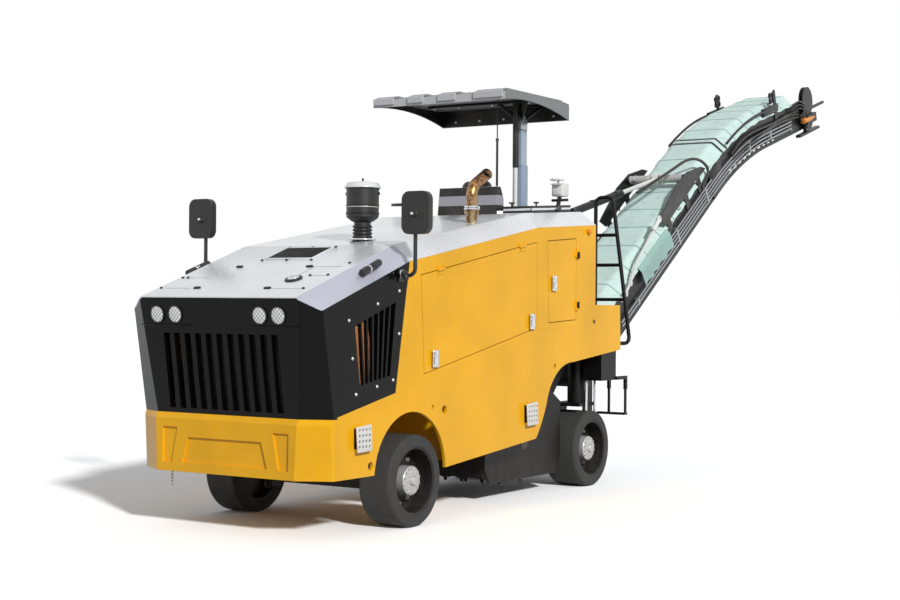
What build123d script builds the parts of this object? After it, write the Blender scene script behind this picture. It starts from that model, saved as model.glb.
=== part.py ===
from build123d import *

import os
from math import cos, degrees, radians, sin

# Cold planer with a one metre drum, four solid-tyred wheels and a rear loading conveyor.
# Millimetres. X points forward and is measured from the front axle, Y points to the
# machine's left and Z up from the ground. Pieces are saved with the origin on the
# ground below the middle of the overall length.

# --- driving dimensions -------------------------------------------------------------
WHEELBASE = 3018.0
BODY_WIDTH = 1680.0
ORIGIN_TO_FRONT_AXLE = 4300.0
WHEEL_DIAMETER = 660.0
FRONT_TYRE_WIDTH = 264.0
REAR_TYRE_WIDTH = 305.0
RIM_RADIUS = 246.0
HUB_RADIUS = 118.0
KINGPIN_Y = 512.0
REAR_WHEEL_Y = 524.5
FRAME_PLATE = 25.0
DOOR_GAP = 6.0
SEAT_GAP = 0.3
HOOD_SHEET = 14.0
STRIP_RISE = 118.0
STRIP_WIDTH = 150.0
DRUM_WIDTH = 1000.0
DRUM_CORE_RADIUS = 270.0
TOOL_RADIUS = 350.0
DRUM_Z = 445.0
LIFT_Z = 850.0
CONVEYOR_HALF = 330.0
BELT_WIDTH = 500.0
CONVEYOR_DEPTH = 350.0
TARP_HEIGHT = 468.0
TARP_TOP_HALF = 235.0

HALF = BODY_WIDTH / 2
WHEEL_RADIUS = WHEEL_DIAMETER / 2
FRONT_WHEEL_Y = HALF + 2 - FRONT_TYRE_WIDTH / 2
INNER = HALF - FRAME_PLATE
REAR_AXLE_X = -WHEELBASE
# the rear group keeps its place round the rear axle
DRUM_X = REAR_AXLE_X + 988
WAIST_X = REAR_AXLE_X + 1263
BODY_REAR = REAR_AXLE_X + 268
BOX_REAR = REAR_AXLE_X - 204
SLEW_X = REAR_AXLE_X - 482
SIDE_PLANES = (Plane.XZ.offset(-HALF), Plane.XZ.offset(INNER))
LEFT_SIDE = (SIDE_PLANES[0],)
RIGHT_SIDE = (SIDE_PLANES[1],)

os.makedirs("parts", exist_ok=True)


def save(part, name):
    """Label a finished piece, place it in the stored frame and write its STEP file."""
    placed = part.moved(Location((ORIGIN_TO_FRONT_AXLE, 0, 0)))
    placed.label = name
    export_step(placed, f"parts/{name}.step")


def on_line(line, x):
    """Height at x on a polyline of (x, z) points that runs rearwards."""
    for (xa, za), (xb, zb) in zip(line, line[1:]):
        if xb <= x <= xa:
            return za + (zb - za) * (xa - x) / (xa - xb)
    raise ValueError("outside the line")


# --- body lines, each a short table of (x, z) ------------------------------------------
HOOD_LINE = [(1188.0, 1630.0), (78.0, 2013.0), (WAIST_X, 2330.0), (BODY_REAR, 2395.0)]
SEAM_LINE = [(965.0, 826.0), (253.0, 968.0), (WAIST_X - 45, 1389.0), (BODY_REAR, 1410.0)]
# the front in plan, level by level: z, x of the flat, half width of the flat, x of the corner
BUMPER_ROWS = [(412.0, 1096.0, 612.0, 960.0), (780.0, 1092.0, 627.0, 982.0), (820.0, 1069.0, 630.0, 965.0)]
FACE_ROWS = [(820.3, 1069.0, 630.0, 966.0), (1640.0, 1188.0, 707.0, 1113.0)]
BOX_TOP = 1590.0
ARCH_CENTRE = (50.0, 375.0)
ARCH_RADIUS = 450.0
SKIRT_FRONT = BUMPER_ROWS[0][0]
PLATE_FRONT = 925.0
FACE_DEPTH = 40.0
DECK_Z = 880.0


def shoulder(x):
    """Height of the side panels' top edge, under the hood's silver strip."""
    return on_line(HOOD_LINE, x) - STRIP_RISE


# --- lower frame -----------------------------------------------------------------------
ARCH_FRONT_X = ARCH_CENTRE[0] + (ARCH_RADIUS**2 - (ARCH_CENTRE[1] - SKIRT_FRONT) ** 2) ** 0.5
ARCH_REAR_Z = 394.0
ARCH_REAR_X = ARCH_CENTRE[0] - (ARCH_RADIUS**2 - (ARCH_CENTRE[1] - ARCH_REAR_Z) ** 2) ** 0.5
TIE_HOLES = [(-378, 819, 30), (-225, 845, 15), (DRUM_X - 13, 1085, 20), (545, 480, 30)]  # x, z, radius

with BuildPart() as lower_frame:
    with BuildSketch(*SIDE_PLANES):
        with BuildLine():
            Polyline(
                (PLATE_FRONT, SKIRT_FRONT),
                (PLATE_FRONT, on_line(SEAM_LINE, PLATE_FRONT)),
                *SEAM_LINE[1:],
                (BODY_REAR, BOX_TOP),
                (BOX_REAR, BOX_TOP),
                (BOX_REAR - 16, 1197),
                (DRUM_X - 324, 1111),
            )
            ThreePointArc((DRUM_X - 324, 1111), (DRUM_X - 31, 1013), (DRUM_X + 101, 846))
            ThreePointArc((DRUM_X + 101, 846), (DRUM_X + 213, 617), (DRUM_X + 293, 512))
            Line((DRUM_X + 293, 512), (ARCH_REAR_X, ARCH_REAR_Z))
            ThreePointArc(
                (ARCH_REAR_X, ARCH_REAR_Z),
                (ARCH_CENTRE[0], ARCH_CENTRE[1] + ARCH_RADIUS),
                (ARCH_FRONT_X, SKIRT_FRONT),
            )
            Line((ARCH_FRONT_X, SKIRT_FRONT), (PLATE_FRONT, SKIRT_FRONT))
        make_face()
        for x, z, radius in TIE_HOLES:
            with Locations((x, z)):
                Circle(radius, mode=Mode.SUBTRACT)
    extrude(amount=FRAME_PLATE)
    # cross plates: x from, x to, z from, z to
    for x0, x1, z0, z1 in (
        (640, 680, 430, DECK_Z),
        (-900, 640, DECK_Z - 20, DECK_Z),
        (-525, -500, 430, DECK_Z),
        (DRUM_X + 700, -525, 480, 505),
        (BODY_REAR - 25, BODY_REAR, 1160, BOX_TOP - 25),
        (BOX_REAR, DRUM_X + 30, BOX_TOP - 25, BOX_TOP),
        (BOX_REAR, BOX_REAR + 15, 1199, BOX_TOP - 25),
    ):
        with BuildSketch(Plane.XZ):
            with Locations(((x0 + x1) / 2, (z0 + z1) / 2)):
                Rectangle(x1 - x0, z1 - z0)
        extrude(amount=INNER, both=True)
save(lower_frame.part, "lower_frame")

# --- bumper and front face -----------------------------------------------------------------


def front_rows(rows, back):
    """Outlines in plan, one a level, with angled corners and the given back line."""
    faces = []
    for z, flat_x, flat_half, corner_x in rows:
        with BuildSketch(Plane.XY.offset(z)) as level:
            with BuildLine():
                Polyline(
                    *((x, -y) for x, y in back(flat_x, flat_half, corner_x)),
                    (corner_x, -HALF),
                    (flat_x, -flat_half),
                    (flat_x, flat_half),
                    (corner_x, HALF),
                    *reversed(back(flat_x, flat_half, corner_x)),
                    close=True,
                )
            make_face()
        faces.append(level.sketch.face())
    return faces


def bumper_back(flat_x, flat_half, corner_x):
    """Back of the bumper, between the side plates and round their front ends."""
    return [(720, INNER), (PLATE_FRONT + SEAT_GAP, INNER), (PLATE_FRONT + SEAT_GAP, HALF)]


def face_back(flat_x, flat_half, corner_x):
    """Back of the front face, one depth behind its front."""
    return [(flat_x - FACE_DEPTH, flat_half - 20), (corner_x - FACE_DEPTH, HALF)]


with BuildPart() as bumper:
    loft(front_rows(BUMPER_ROWS, bumper_back), ruled=True)
    rims = bumper.edges().filter_by(lambda e: abs(abs(e.center().Y) - HALF) < 1 and e.center().X > 945)
    fillet(rims.filter_by(lambda e: e.length > 300), 25)
    with BuildSketch(Plane.YZ.offset(BUMPER_ROWS[1][1] - 14)):
        for sign in (1, -1):
            with BuildLine():
                Polyline(
                    (sign * 425, 720), (sign * 560, 720), (sign * 560, 472), (sign * 475, 472), close=True
                )
            make_face()
        with Locations((0, 566)):
            Trapezoid(760, 176, 73)
    extrude(amount=40, mode=Mode.SUBTRACT)
save(bumper.part, "bumper")

LAMPS = [(-536, 1507), (-375, 1507), (375, 1507), (536, 1507)]  # y, z
LAMP_RADIUS = 56.0
SLOTS = 11
SLOT_PITCH = 96.0
SLOT_WIDTH = 56.0
SLOT_LOW = 855.0
SLOT_HIGH = 1378.0


def hood_section(x, z):
    """Cross-section of the hood with its two sloped strips."""
    with BuildSketch(Plane.YZ.offset(x)) as section:
        with BuildLine():
            Polyline(
                (-HALF, z - STRIP_RISE),
                (STRIP_WIDTH - HALF, z),
                (HALF - STRIP_WIDTH, z),
                (HALF, z - STRIP_RISE),
                (INNER, z - STRIP_RISE),
                (HALF - STRIP_WIDTH - 8, z - HOOD_SHEET),
                (8 + STRIP_WIDTH - HALF, z - HOOD_SHEET),
                (-INNER, z - STRIP_RISE),
                close=True,
            )
        make_face()
    return section.sketch.face()


with BuildPart() as front_panel:
    loft(front_rows(FACE_ROWS, face_back), ruled=True)
    with BuildSketch(Plane.YZ.offset(900)):
        with Locations((0, (SLOT_LOW + SLOT_HIGH) / 2)):
            with GridLocations(SLOT_PITCH, 1, SLOTS, 1):
                Rectangle(SLOT_WIDTH, SLOT_HIGH - SLOT_LOW)
        for y, z in LAMPS:
            with Locations((y, z)):
                Circle(LAMP_RADIUS)
    extrude(amount=400, mode=Mode.SUBTRACT)
    # the top follows the hood's underside
    nose, crown = HOOD_LINE[0]
    crown = crown - SEAT_GAP
    slope = (HOOD_LINE[1][1] - HOOD_LINE[0][1]) / (HOOD_LINE[0][0] - HOOD_LINE[1][0])
    with BuildSketch(Plane.YZ.offset(nose)):
        with BuildLine():
            Polyline(
                (-HALF, 700),
                (HALF, 700),
                (HALF, crown - STRIP_RISE),
                (INNER, crown - STRIP_RISE),
                (HALF - STRIP_WIDTH - 8, crown - HOOD_SHEET),
                (8 + STRIP_WIDTH - HALF, crown - HOOD_SHEET),
                (-INNER, crown - STRIP_RISE),
                (-HALF, crown - STRIP_RISE),
                close=True,
            )
        make_face()
    extrude(amount=400, dir=(-1, 0, slope), mode=Mode.INTERSECT)
save(front_panel.part, "front_panel")

with BuildPart() as headlamps:
    with BuildSketch(Plane.YZ.offset(1122)):
        for y, z in LAMPS:
            with Locations((y, z)):
                Circle(LAMP_RADIUS - SEAT_GAP)
    extrude(amount=50)
save(headlamps.part, "headlamps")

# --- side panels behind the face, with the cooler's opening ------------------------------
OPENING = [(738, 1440), (256, 1603), (322, 1092), (675, 1034)]
BARS = 7


def between(a, b, share):
    """Point at a share of the way from a to b."""
    return (a[0] + (b[0] - a[0]) * share, a[1] + (b[1] - a[1]) * share)


def face_x(z):
    """Rear edge of the front face's corner, with its seam."""
    low, high = FACE_ROWS
    share = (z - low[0]) / (high[0] - low[0])
    return low[3] + (high[3] - low[3]) * share - FACE_DEPTH - SEAT_GAP


FACE_TOP = 1553.0


for side, planes in (("left", LEFT_SIDE), ("right", RIGHT_SIDE)):
    with BuildPart() as side_front:
        with BuildSketch(*planes):
            with BuildLine():
                Polyline(
                    (face_x(SEAM_LINE[0][1]), on_line(SEAM_LINE, face_x(SEAM_LINE[0][1]))),
                    (face_x(FACE_TOP), shoulder(face_x(FACE_TOP))),
                    (HOOD_LINE[1][0] + 11, shoulder(HOOD_LINE[1][0] + 11)),
                    SEAM_LINE[1],
                    close=True,
                )
            make_face()
            with BuildLine():
                Polyline(*OPENING, close=True)
            make_face(mode=Mode.SUBTRACT)
            for i in range(1, BARS):
                top = between(OPENING[0], OPENING[1], i / BARS)
                foot = between(OPENING[3], OPENING[2], i / BARS)
                with BuildLine():
                    Polyline(
                        (top[0] - 9, top[1] + 12),
                        (top[0] + 9, top[1] + 12),
                        (foot[0] + 9, foot[1] - 12),
                        (foot[0] - 9, foot[1] - 12),
                        close=True,
                    )
                make_face()
        extrude(amount=FRAME_PLATE)
    save(side_front.part, f"side_grille_{side}")

with BuildPart() as cooler:
    with BuildSketch(Plane.XZ.offset(-INNER), Plane.XZ.offset(INNER - 60)):
        with BuildLine():
            Polyline((790, 1490), (575, 1563), (485, 1000), (700, 970), close=True)
        make_face()
    extrude(amount=60)
save(cooler.part, "cooler")

# --- upper side bodies and their doors ----------------------------------------------------
BIG_DOOR = [(-55, 1801), (WAIST_X + 22, 2096), (WAIST_X + 11, 1402), (-104, 1084)]
SMALL_DOOR = [(WAIST_X - 150, 2112), (WAIST_X - 645, 2150), (WAIST_X - 645, 1462), (WAIST_X - 173, 1440)]
DOOR_SKIN = 5.0
DOOR_RIM = 22.0
POCKETS = (Plane.XZ.offset(DOOR_SKIN - HALF), Plane.XZ.offset(INNER))

# hinge line of each door: two ends on the gap's centre, and knuckles at shares of its length
HINGES = {
    "engine_door": ((BIG_DOOR[1], BIG_DOOR[0]), (0.147, 0.851)),
    "tank_door": ((SMALL_DOOR[2], SMALL_DOOR[1]), (0.174, 0.814)),
}
HINGE_PIN = 5.0
KNUCKLE_RADIUS = 9.0
KNUCKLE_LENGTH = 60.0
LEAF = 6.0


def hinge_plane(name, sign, share):
    """Plane across a door's hinge line, with the body's side upwards in it."""
    (xa, za), (xb, zb) = HINGES[name][0]
    length = ((xb - xa) ** 2 + (zb - za) ** 2) ** 0.5
    run = ((xb - xa) / length, (zb - za) / length)
    station = share * length
    origin = (
        xa + run[0] * station + run[1] * DOOR_GAP / 2,
        sign * (HALF + KNUCKLE_RADIUS),
        za + run[1] * station - run[0] * DOOR_GAP / 2,
    )
    return Plane(origin=origin, x_dir=(0, sign, 0), z_dir=(sign * run[0], 0, sign * run[1]))


def knuckle_part(plane, start, length, reach, hole):
    """One hinge knuckle round the pin line, with its leaf on the panel's face."""
    with BuildPart() as piece:
        with BuildSketch(plane.offset(start)):
            Circle(KNUCKLE_RADIUS)
            with Locations((LEAF / 2 - KNUCKLE_RADIUS, reach / 2)):
                Rectangle(LEAF, abs(reach))
            if hole:
                Circle(hole, mode=Mode.SUBTRACT)
        extrude(amount=length)
    return piece.part


for side, planes, pocket in zip(("left", "right"), (LEFT_SIDE, RIGHT_SIDE), POCKETS):
    sign = 1 if side == "left" else -1
    with BuildPart() as body:
        with BuildSketch(*planes):
            with BuildLine():
                Polyline(
                    (88.5, shoulder(88.5)),
                    (78, shoulder(78)),
                    (-1755, shoulder(-1755)),
                    (BODY_REAR, shoulder(BODY_REAR)),
                    *SEAM_LINE[:0:-1],
                    close=True,
                )
            make_face()
            for door in (BIG_DOOR, SMALL_DOOR):
                with BuildLine():
                    Polyline(*door, close=True)
                make_face(mode=Mode.SUBTRACT)
        extrude(amount=FRAME_PLATE)
        for name, (_, stations) in HINGES.items():
            for station in stations:
                plane = hinge_plane(name, sign, station)
                for start in (-KNUCKLE_LENGTH / 2 - 11, KNUCKLE_LENGTH / 2 + 1):
                    add(knuckle_part(plane, start, 10, 34, 0))
                with BuildSketch(plane.offset(-KNUCKLE_LENGTH / 2 - 5)):
                    Circle(HINGE_PIN)
                extrude(amount=KNUCKLE_LENGTH + 10)
    save(body.part, f"body_{side}")

    for name, door in (("engine_door", BIG_DOOR), ("tank_door", SMALL_DOOR)):
        with BuildPart() as panel:
            with BuildSketch(*planes):
                with BuildLine():
                    Polyline(*door, close=True)
                make_face()
                offset(amount=-DOOR_GAP, kind=Kind.INTERSECTION, mode=Mode.REPLACE)
            extrude(amount=FRAME_PLATE)
            with BuildSketch(pocket):
                with BuildLine():
                    Polyline(*door, close=True)
                make_face()
                offset(amount=-DOOR_GAP - DOOR_RIM, kind=Kind.INTERSECTION, mode=Mode.REPLACE)
            extrude(amount=FRAME_PLATE - DOOR_SKIN, mode=Mode.SUBTRACT)
            for station in HINGES[name][1]:
                plane = hinge_plane(name, sign, station)
                add(knuckle_part(plane, -KNUCKLE_LENGTH / 2, KNUCKLE_LENGTH, -34, HINGE_PIN + 0.1))
        save(panel.part, f"{name}_{side}")

# --- canopy mast's place ---
MAST_X = WAIST_X - 590
MAST_Y = 320.0

# --- hood in three bays ------------------------------------------------------------------
CLEANER_X = -175.0
CLEANER_Y = 233.0
CLEANER_NECK = 62.0
EXHAUST_X = WAIST_X + 542
EXHAUST_Y = 540.0
PIPE_RADIUS = 45.0
HOOD_PIPES = [(CLEANER_X, CLEANER_Y, CLEANER_NECK), (EXHAUST_X, EXHAUST_Y, PIPE_RADIUS)]
BAY_FRONT = WAIST_X - 255
BAY_LEFT = 100.0
BAY_RIGHT = -690.0
VENT = (655.0, 150.0)
VENT_SIZE = (360.0, 300.0)
VENT_RISE = 14.0
CAP = (844.0, 400.0)
CAP_STEPS = [(52, 20), (36, 48)]  # radius, rise
COVER_X = (WAIST_X - 180, WAIST_X - 860)
COVER_Y = (395.0, 665.0)
COVER_RISE = 60.0
KNOBS = [(WAIST_X - 230, 450.0), (WAIST_X - 640, 450.0)]
KNOB_STEPS = [(COVER_RISE - 5, 35, 7), (COVER_RISE + 22, 12, 24)]  # start, height, radius


def on_hood(x, y):
    """Plane just under the front bay's top, square to it."""
    return Plane(origin=(x, y, on_line(HOOD_LINE, x) - 4), z_dir=(slope, 0, 1))


for name, (front, rear) in zip(("hood_front", "hood_middle", "hood_rear"), zip(HOOD_LINE, HOOD_LINE[1:])):
    with BuildPart() as hood:
        nose = front[0] - SEAT_GAP
        loft([hood_section(nose, on_line(HOOD_LINE, nose)), hood_section(*rear)], ruled=True)
        if name == "hood_front":
            with BuildSketch(Plane.XY.offset(1400)):
                for sign in (1, -1):
                    with BuildLine():
                        Polyline(
                            (front[0] + 20, sign * (FACE_ROWS[1][2] - 40)),
                            (front[0], sign * FACE_ROWS[1][2]),
                            (FACE_ROWS[1][3] - 18, sign * (HALF + 1)),
                            (front[0] + 20, sign * (HALF + 1)),
                            close=True,
                        )
                    make_face()
            extrude(amount=300, mode=Mode.SUBTRACT)
            # louvred vent and filler cap
            with BuildSketch(on_hood(*VENT)):
                Rectangle(*VENT_SIZE)
            extrude(amount=VENT_RISE)
            for radius, rise in CAP_STEPS:
                with BuildSketch(on_hood(*CAP)):
                    Circle(radius)
                extrude(amount=rise)
        if name == "hood_rear":
            with BuildSketch(Plane.XY.offset(2200)):
                with Locations(((BAY_FRONT + BODY_REAR) / 2 - 50, (BAY_LEFT + BAY_RIGHT) / 2)):
                    Rectangle(BAY_FRONT - BODY_REAR + 100, BAY_LEFT - BAY_RIGHT)
                with Locations((MAST_X, MAST_Y)):
                    Rectangle(100, 74)
            extrude(amount=300, mode=Mode.SUBTRACT)
            # raised tank cover with its two knobs
            with BuildSketch(Plane.XZ.offset(-COVER_Y[0])):
                with BuildLine():
                    Polyline(
                        *((x, on_line(HOOD_LINE, x) - 5) for x in COVER_X),
                        *((x, on_line(HOOD_LINE, x) + COVER_RISE) for x in reversed(COVER_X)),
                        close=True,
                    )
                make_face()
            extrude(amount=COVER_Y[0] - COVER_Y[1])
            for x, y in KNOBS:
                for start, height, radius in KNOB_STEPS:
                    with BuildSketch(Plane.XY.offset(on_line(HOOD_LINE, x) + start)):
                        with Locations((x, y)):
                            Circle(radius)
                    extrude(amount=height)
        if name == "hood_middle":
            for x, y, radius in HOOD_PIPES:
                with BuildSketch(Plane.XY.offset(1900)):
                    with Locations((x, y)):
                        Circle(radius + SEAT_GAP)
                extrude(amount=600, mode=Mode.SUBTRACT)
    save(hood.part, name)

# --- operator's bay ------------------------------------------------------------------------
WALL = 20.0
with BuildPart() as bay:
    with BuildSketch(Plane.XZ.offset(-BAY_LEFT - WALL)):
        with BuildLine():
            Polyline(
                (BAY_FRONT, BOX_TOP),
                (BAY_FRONT, on_line(HOOD_LINE, BAY_FRONT) - HOOD_SHEET),
                (BODY_REAR, on_line(HOOD_LINE, BODY_REAR) - HOOD_SHEET),
                (BODY_REAR, BOX_TOP),
                close=True,
            )
        make_face()
    extrude(amount=WALL)
    with BuildSketch(Plane.XY.offset(BOX_TOP)):
        with Locations((BAY_FRONT + WALL / 2, (BAY_LEFT + WALL + BAY_RIGHT + 10) / 2)):
            Rectangle(WALL, BAY_LEFT + WALL - BAY_RIGHT - 10)
        with Locations((BODY_REAR + WALL / 2, (BAY_LEFT + HALF - STRIP_WIDTH - 8) / 2)):
            Rectangle(WALL, HALF - STRIP_WIDTH - 8 - BAY_LEFT)
    extrude(amount=on_line(HOOD_LINE, BAY_FRONT + WALL) - HOOD_SHEET - BOX_TOP)
save(bay.part, "operator_bay")

CONSOLE_X = BAY_FRONT - 20
GUIDE = (CONSOLE_X - 12, 270.0)
GUIDE_RADIUS = 5.0
GUIDE_TOP = 2970.0
GUIDE_TUBE = 400.0
with BuildPart() as console:
    with BuildSketch(Plane.XZ.offset(-290)):
        with BuildLine():
            Polyline(
                (CONSOLE_X + 40, on_line(HOOD_LINE, BAY_FRONT) + SEAT_GAP),
                (CONSOLE_X + 10, 2580),
                (CONSOLE_X - 40, 2580),
                (CONSOLE_X - 90, 2480),
                (CONSOLE_X - 90, 2380),
                (CONSOLE_X + 20 - 0.5, 2380),
                (CONSOLE_X + 19.5, on_line(HOOD_LINE, BAY_FRONT) + SEAT_GAP),
                close=True,
            )
        make_face()
    extrude(amount=580)
    # lower tube of the canopy's guide
    with BuildSketch(Plane.XY.offset(GUIDE_TOP)):
        with Locations(GUIDE):
            Circle(GUIDE_RADIUS + 5)
    extrude(amount=-GUIDE_TUBE)
    with BuildSketch(Plane.XY.offset(GUIDE_TOP)):
        with Locations(GUIDE):
            Circle(GUIDE_RADIUS + SEAT_GAP)
    extrude(amount=-GUIDE_TUBE - 140, mode=Mode.SUBTRACT)
save(console.part, "console")

SEAT_X = BODY_REAR + 220
SEAT_Y = -360.0
with BuildPart() as seat:
    with BuildSketch(Plane.XY.offset(BOX_TOP + SEAT_GAP)):
        with Locations((SEAT_X, SEAT_Y)):
            RectangleRounded(300, 300, 30)
    extrude(amount=420)
save(seat.part, "seat_pedestal")

with BuildPart() as cushion:
    with BuildSketch(Plane.XZ.offset(-SEAT_Y - 230)):
        with BuildLine():
            Polyline(
                (SEAT_X + 240, 2011),
                (SEAT_X + 250, 2130),
                (SEAT_X - 150, 2120),
                (SEAT_X - 230, 2740),
                (SEAT_X - 330, 2740),
                (SEAT_X - 260, 2011),
                close=True,
            )
        make_face()
    extrude(amount=460)
save(cushion.part, "seat")

WHEEL_X = WAIST_X - 190
WHEEL_Y = -520.0
HAND_WHEEL_RADIUS = 180.0
COLUMN_HEIGHT = 90.0
REAR_SLOPE = (HOOD_LINE[3][1] - HOOD_LINE[2][1]) / (HOOD_LINE[2][0] - HOOD_LINE[3][0])
COLUMN_AXIS = Plane(
    origin=(WHEEL_X, WHEEL_Y, on_line(HOOD_LINE, WHEEL_X) + SEAT_GAP),
    x_dir=(0, 1, 0),
    z_dir=(REAR_SLOPE, 0, 1),
)
with BuildPart() as hand_wheel:
    with BuildSketch(COLUMN_AXIS.offset(COLUMN_HEIGHT + SEAT_GAP)):
        Circle(HAND_WHEEL_RADIUS)
        Circle(HAND_WHEEL_RADIUS - 26, mode=Mode.SUBTRACT)
        with PolarLocations(HAND_WHEEL_RADIUS / 2, 3):
            Rectangle(HAND_WHEEL_RADIUS - 20, 24)
        Circle(38)
    extrude(amount=24)
save(hand_wheel.part, "steering_wheel")

with BuildPart() as column:
    with BuildSketch(COLUMN_AXIS):
        Circle(55)
    extrude(amount=12)
    with BuildSketch(COLUMN_AXIS):
        Circle(30)
    extrude(amount=COLUMN_HEIGHT)
save(column.part, "steering_column")

# --- engine, air cleaner and exhaust ---------------------------------------------------------
with BuildPart() as engine:
    with BuildSketch(Plane.XY.offset(DECK_Z)):
        with Locations((-250, 0)):
            RectangleRounded(1250, 760, 40)
    extrude(amount=860)
save(engine.part, "engine")

with BuildPart() as air_cleaner:
    with BuildSketch(Plane.XZ.offset(-CLEANER_Y)):
        base = on_line(HOOD_LINE, CLEANER_X) - 60
        with BuildLine():
            Polyline(
                (CLEANER_X, base),
                (CLEANER_X + CLEANER_NECK, base),
                (CLEANER_X + CLEANER_NECK, 2190),
                (CLEANER_X + 82, 2200),
                (CLEANER_X + 120, 2230),
                (CLEANER_X + 122, 2455),
                (CLEANER_X + 110, 2482),
                (CLEANER_X, 2490),
                close=True,
            )
        make_face()
    revolve(axis=Axis((CLEANER_X, CLEANER_Y, 0), (0, 0, 1)))
save(air_cleaner.part, "air_cleaner")

with BuildPart() as exhaust:
    with BuildLine():
        foot = Line(
            (EXHAUST_X, EXHAUST_Y, on_line(HOOD_LINE, EXHAUST_X) - 60), (EXHAUST_X, EXHAUST_Y, 2440)
        )
        arc = ThreePointArc(
            foot @ 1,
            (EXHAUST_X - 120 * (1 - cos(radians(31))), EXHAUST_Y, 2440 + 120 * sin(radians(31))),
            (EXHAUST_X - 120 * (1 - cos(radians(62))), EXHAUST_Y, 2440 + 120 * sin(radians(62))),
        )
        Line(arc @ 1, arc @ 1 + (arc % 1) * 190)
    with BuildSketch(Plane(origin=foot @ 0, z_dir=(0, 0, 1))):
        Circle(PIPE_RADIUS)
        Circle(PIPE_RADIUS - 5, mode=Mode.SUBTRACT)
    sweep()
    with BuildSketch(Plane.XY.offset(2300)):
        with Locations((EXHAUST_X, EXHAUST_Y)):
            Circle(PIPE_RADIUS + 12)
            Circle(PIPE_RADIUS - 2, mode=Mode.SUBTRACT)
    extrude(amount=30)
save(exhaust.part, "exhaust")

# --- canopy and its mast -------------------------------------------------------------------
MAST_TOP = 2780.0
CANOPY_FRONT = MAST_X + 815
CANOPY_REAR = MAST_X - 265
CANOPY_HALF = 645.0
CANOPY_Z = 3320.0
SLEEVE_X = MAST_X + 82
SLEEVE_LOW = CANOPY_Z - 564
SLEEVE_RADIUS = 26.0
ROD_RADIUS = 18.0
ROD_LOW = on_line(HOOD_LINE, SLEEVE_X) + 10
ROD_LENGTH = 600.0
with BuildPart() as mast:
    with BuildSketch(Plane.XZ.offset(-MAST_Y - 42)):
        with BuildLine():
            Polyline(
                (MAST_X + 55, on_line(HOOD_LINE, MAST_X + 55) + SEAT_GAP),
                (MAST_X - 55, on_line(HOOD_LINE, MAST_X - 55) + SEAT_GAP),
                (MAST_X - 55, MAST_TOP),
                (MAST_X + 55, MAST_TOP),
                close=True,
            )
        make_face()
    extrude(amount=84)
    with BuildSketch(Plane.XY.offset(MAST_TOP)):
        with Locations((MAST_X, MAST_Y)):
            Rectangle(97, 71)
    extrude(amount=-700, mode=Mode.SUBTRACT)
    # rod of the lifting cylinder, on the mast's foot plate
    with BuildSketch(Plane.XZ.offset(-MAST_Y - 42)):
        with BuildLine():
            Polyline(
                (MAST_X + 50, on_line(HOOD_LINE, MAST_X + 50) + SEAT_GAP),
                (MAST_X + 112, on_line(HOOD_LINE, MAST_X + 112) + SEAT_GAP),
                (MAST_X + 112, on_line(HOOD_LINE, MAST_X + 112) + 20),
                (MAST_X + 50, on_line(HOOD_LINE, MAST_X + 50) + 20),
                close=True,
            )
        make_face()
    extrude(amount=84)
    with BuildSketch(Plane.XY.offset(ROD_LOW)):
        with Locations((SLEEVE_X, MAST_Y)):
            Circle(ROD_RADIUS)
    extrude(amount=ROD_LENGTH)
save(mast.part, "mast")

CANOPY_SHEET = 10.0
FASCIA = 62.0
REAR_FASCIA = 148.0
RIB_RISE = 22.0
POST_LENGTH = 860.0
BORE_DEPTH = 520.0
RIBS = [(-636, -436), (-290, -139), (10, 178), (356, 628)]  # y from, y to


def canopy_side(inset):
    """Side outline of the canopy, with a bowed lower edge, moved inwards by inset."""
    rear, front, top = CANOPY_REAR + inset, CANOPY_FRONT - inset, CANOPY_Z - inset
    with BuildSketch(Plane.XZ) as outline:
        with BuildLine():
            Polyline(
                (rear, CANOPY_Z - REAR_FASCIA - 9 * inset),
                (rear, top - 10),
                (rear + 90, top),
                (front - 60, top),
                (front, top - 20),
                (front, CANOPY_Z - FASCIA - 20 - 9 * inset),
            )
            ThreePointArc(
                (front, CANOPY_Z - FASCIA - 20 - 9 * inset),
                (MAST_X + 345, CANOPY_Z - FASCIA + 4 - 9 * inset),
                (rear, CANOPY_Z - REAR_FASCIA - 9 * inset),
            )
        make_face()
    return outline.sketch.face()


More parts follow.
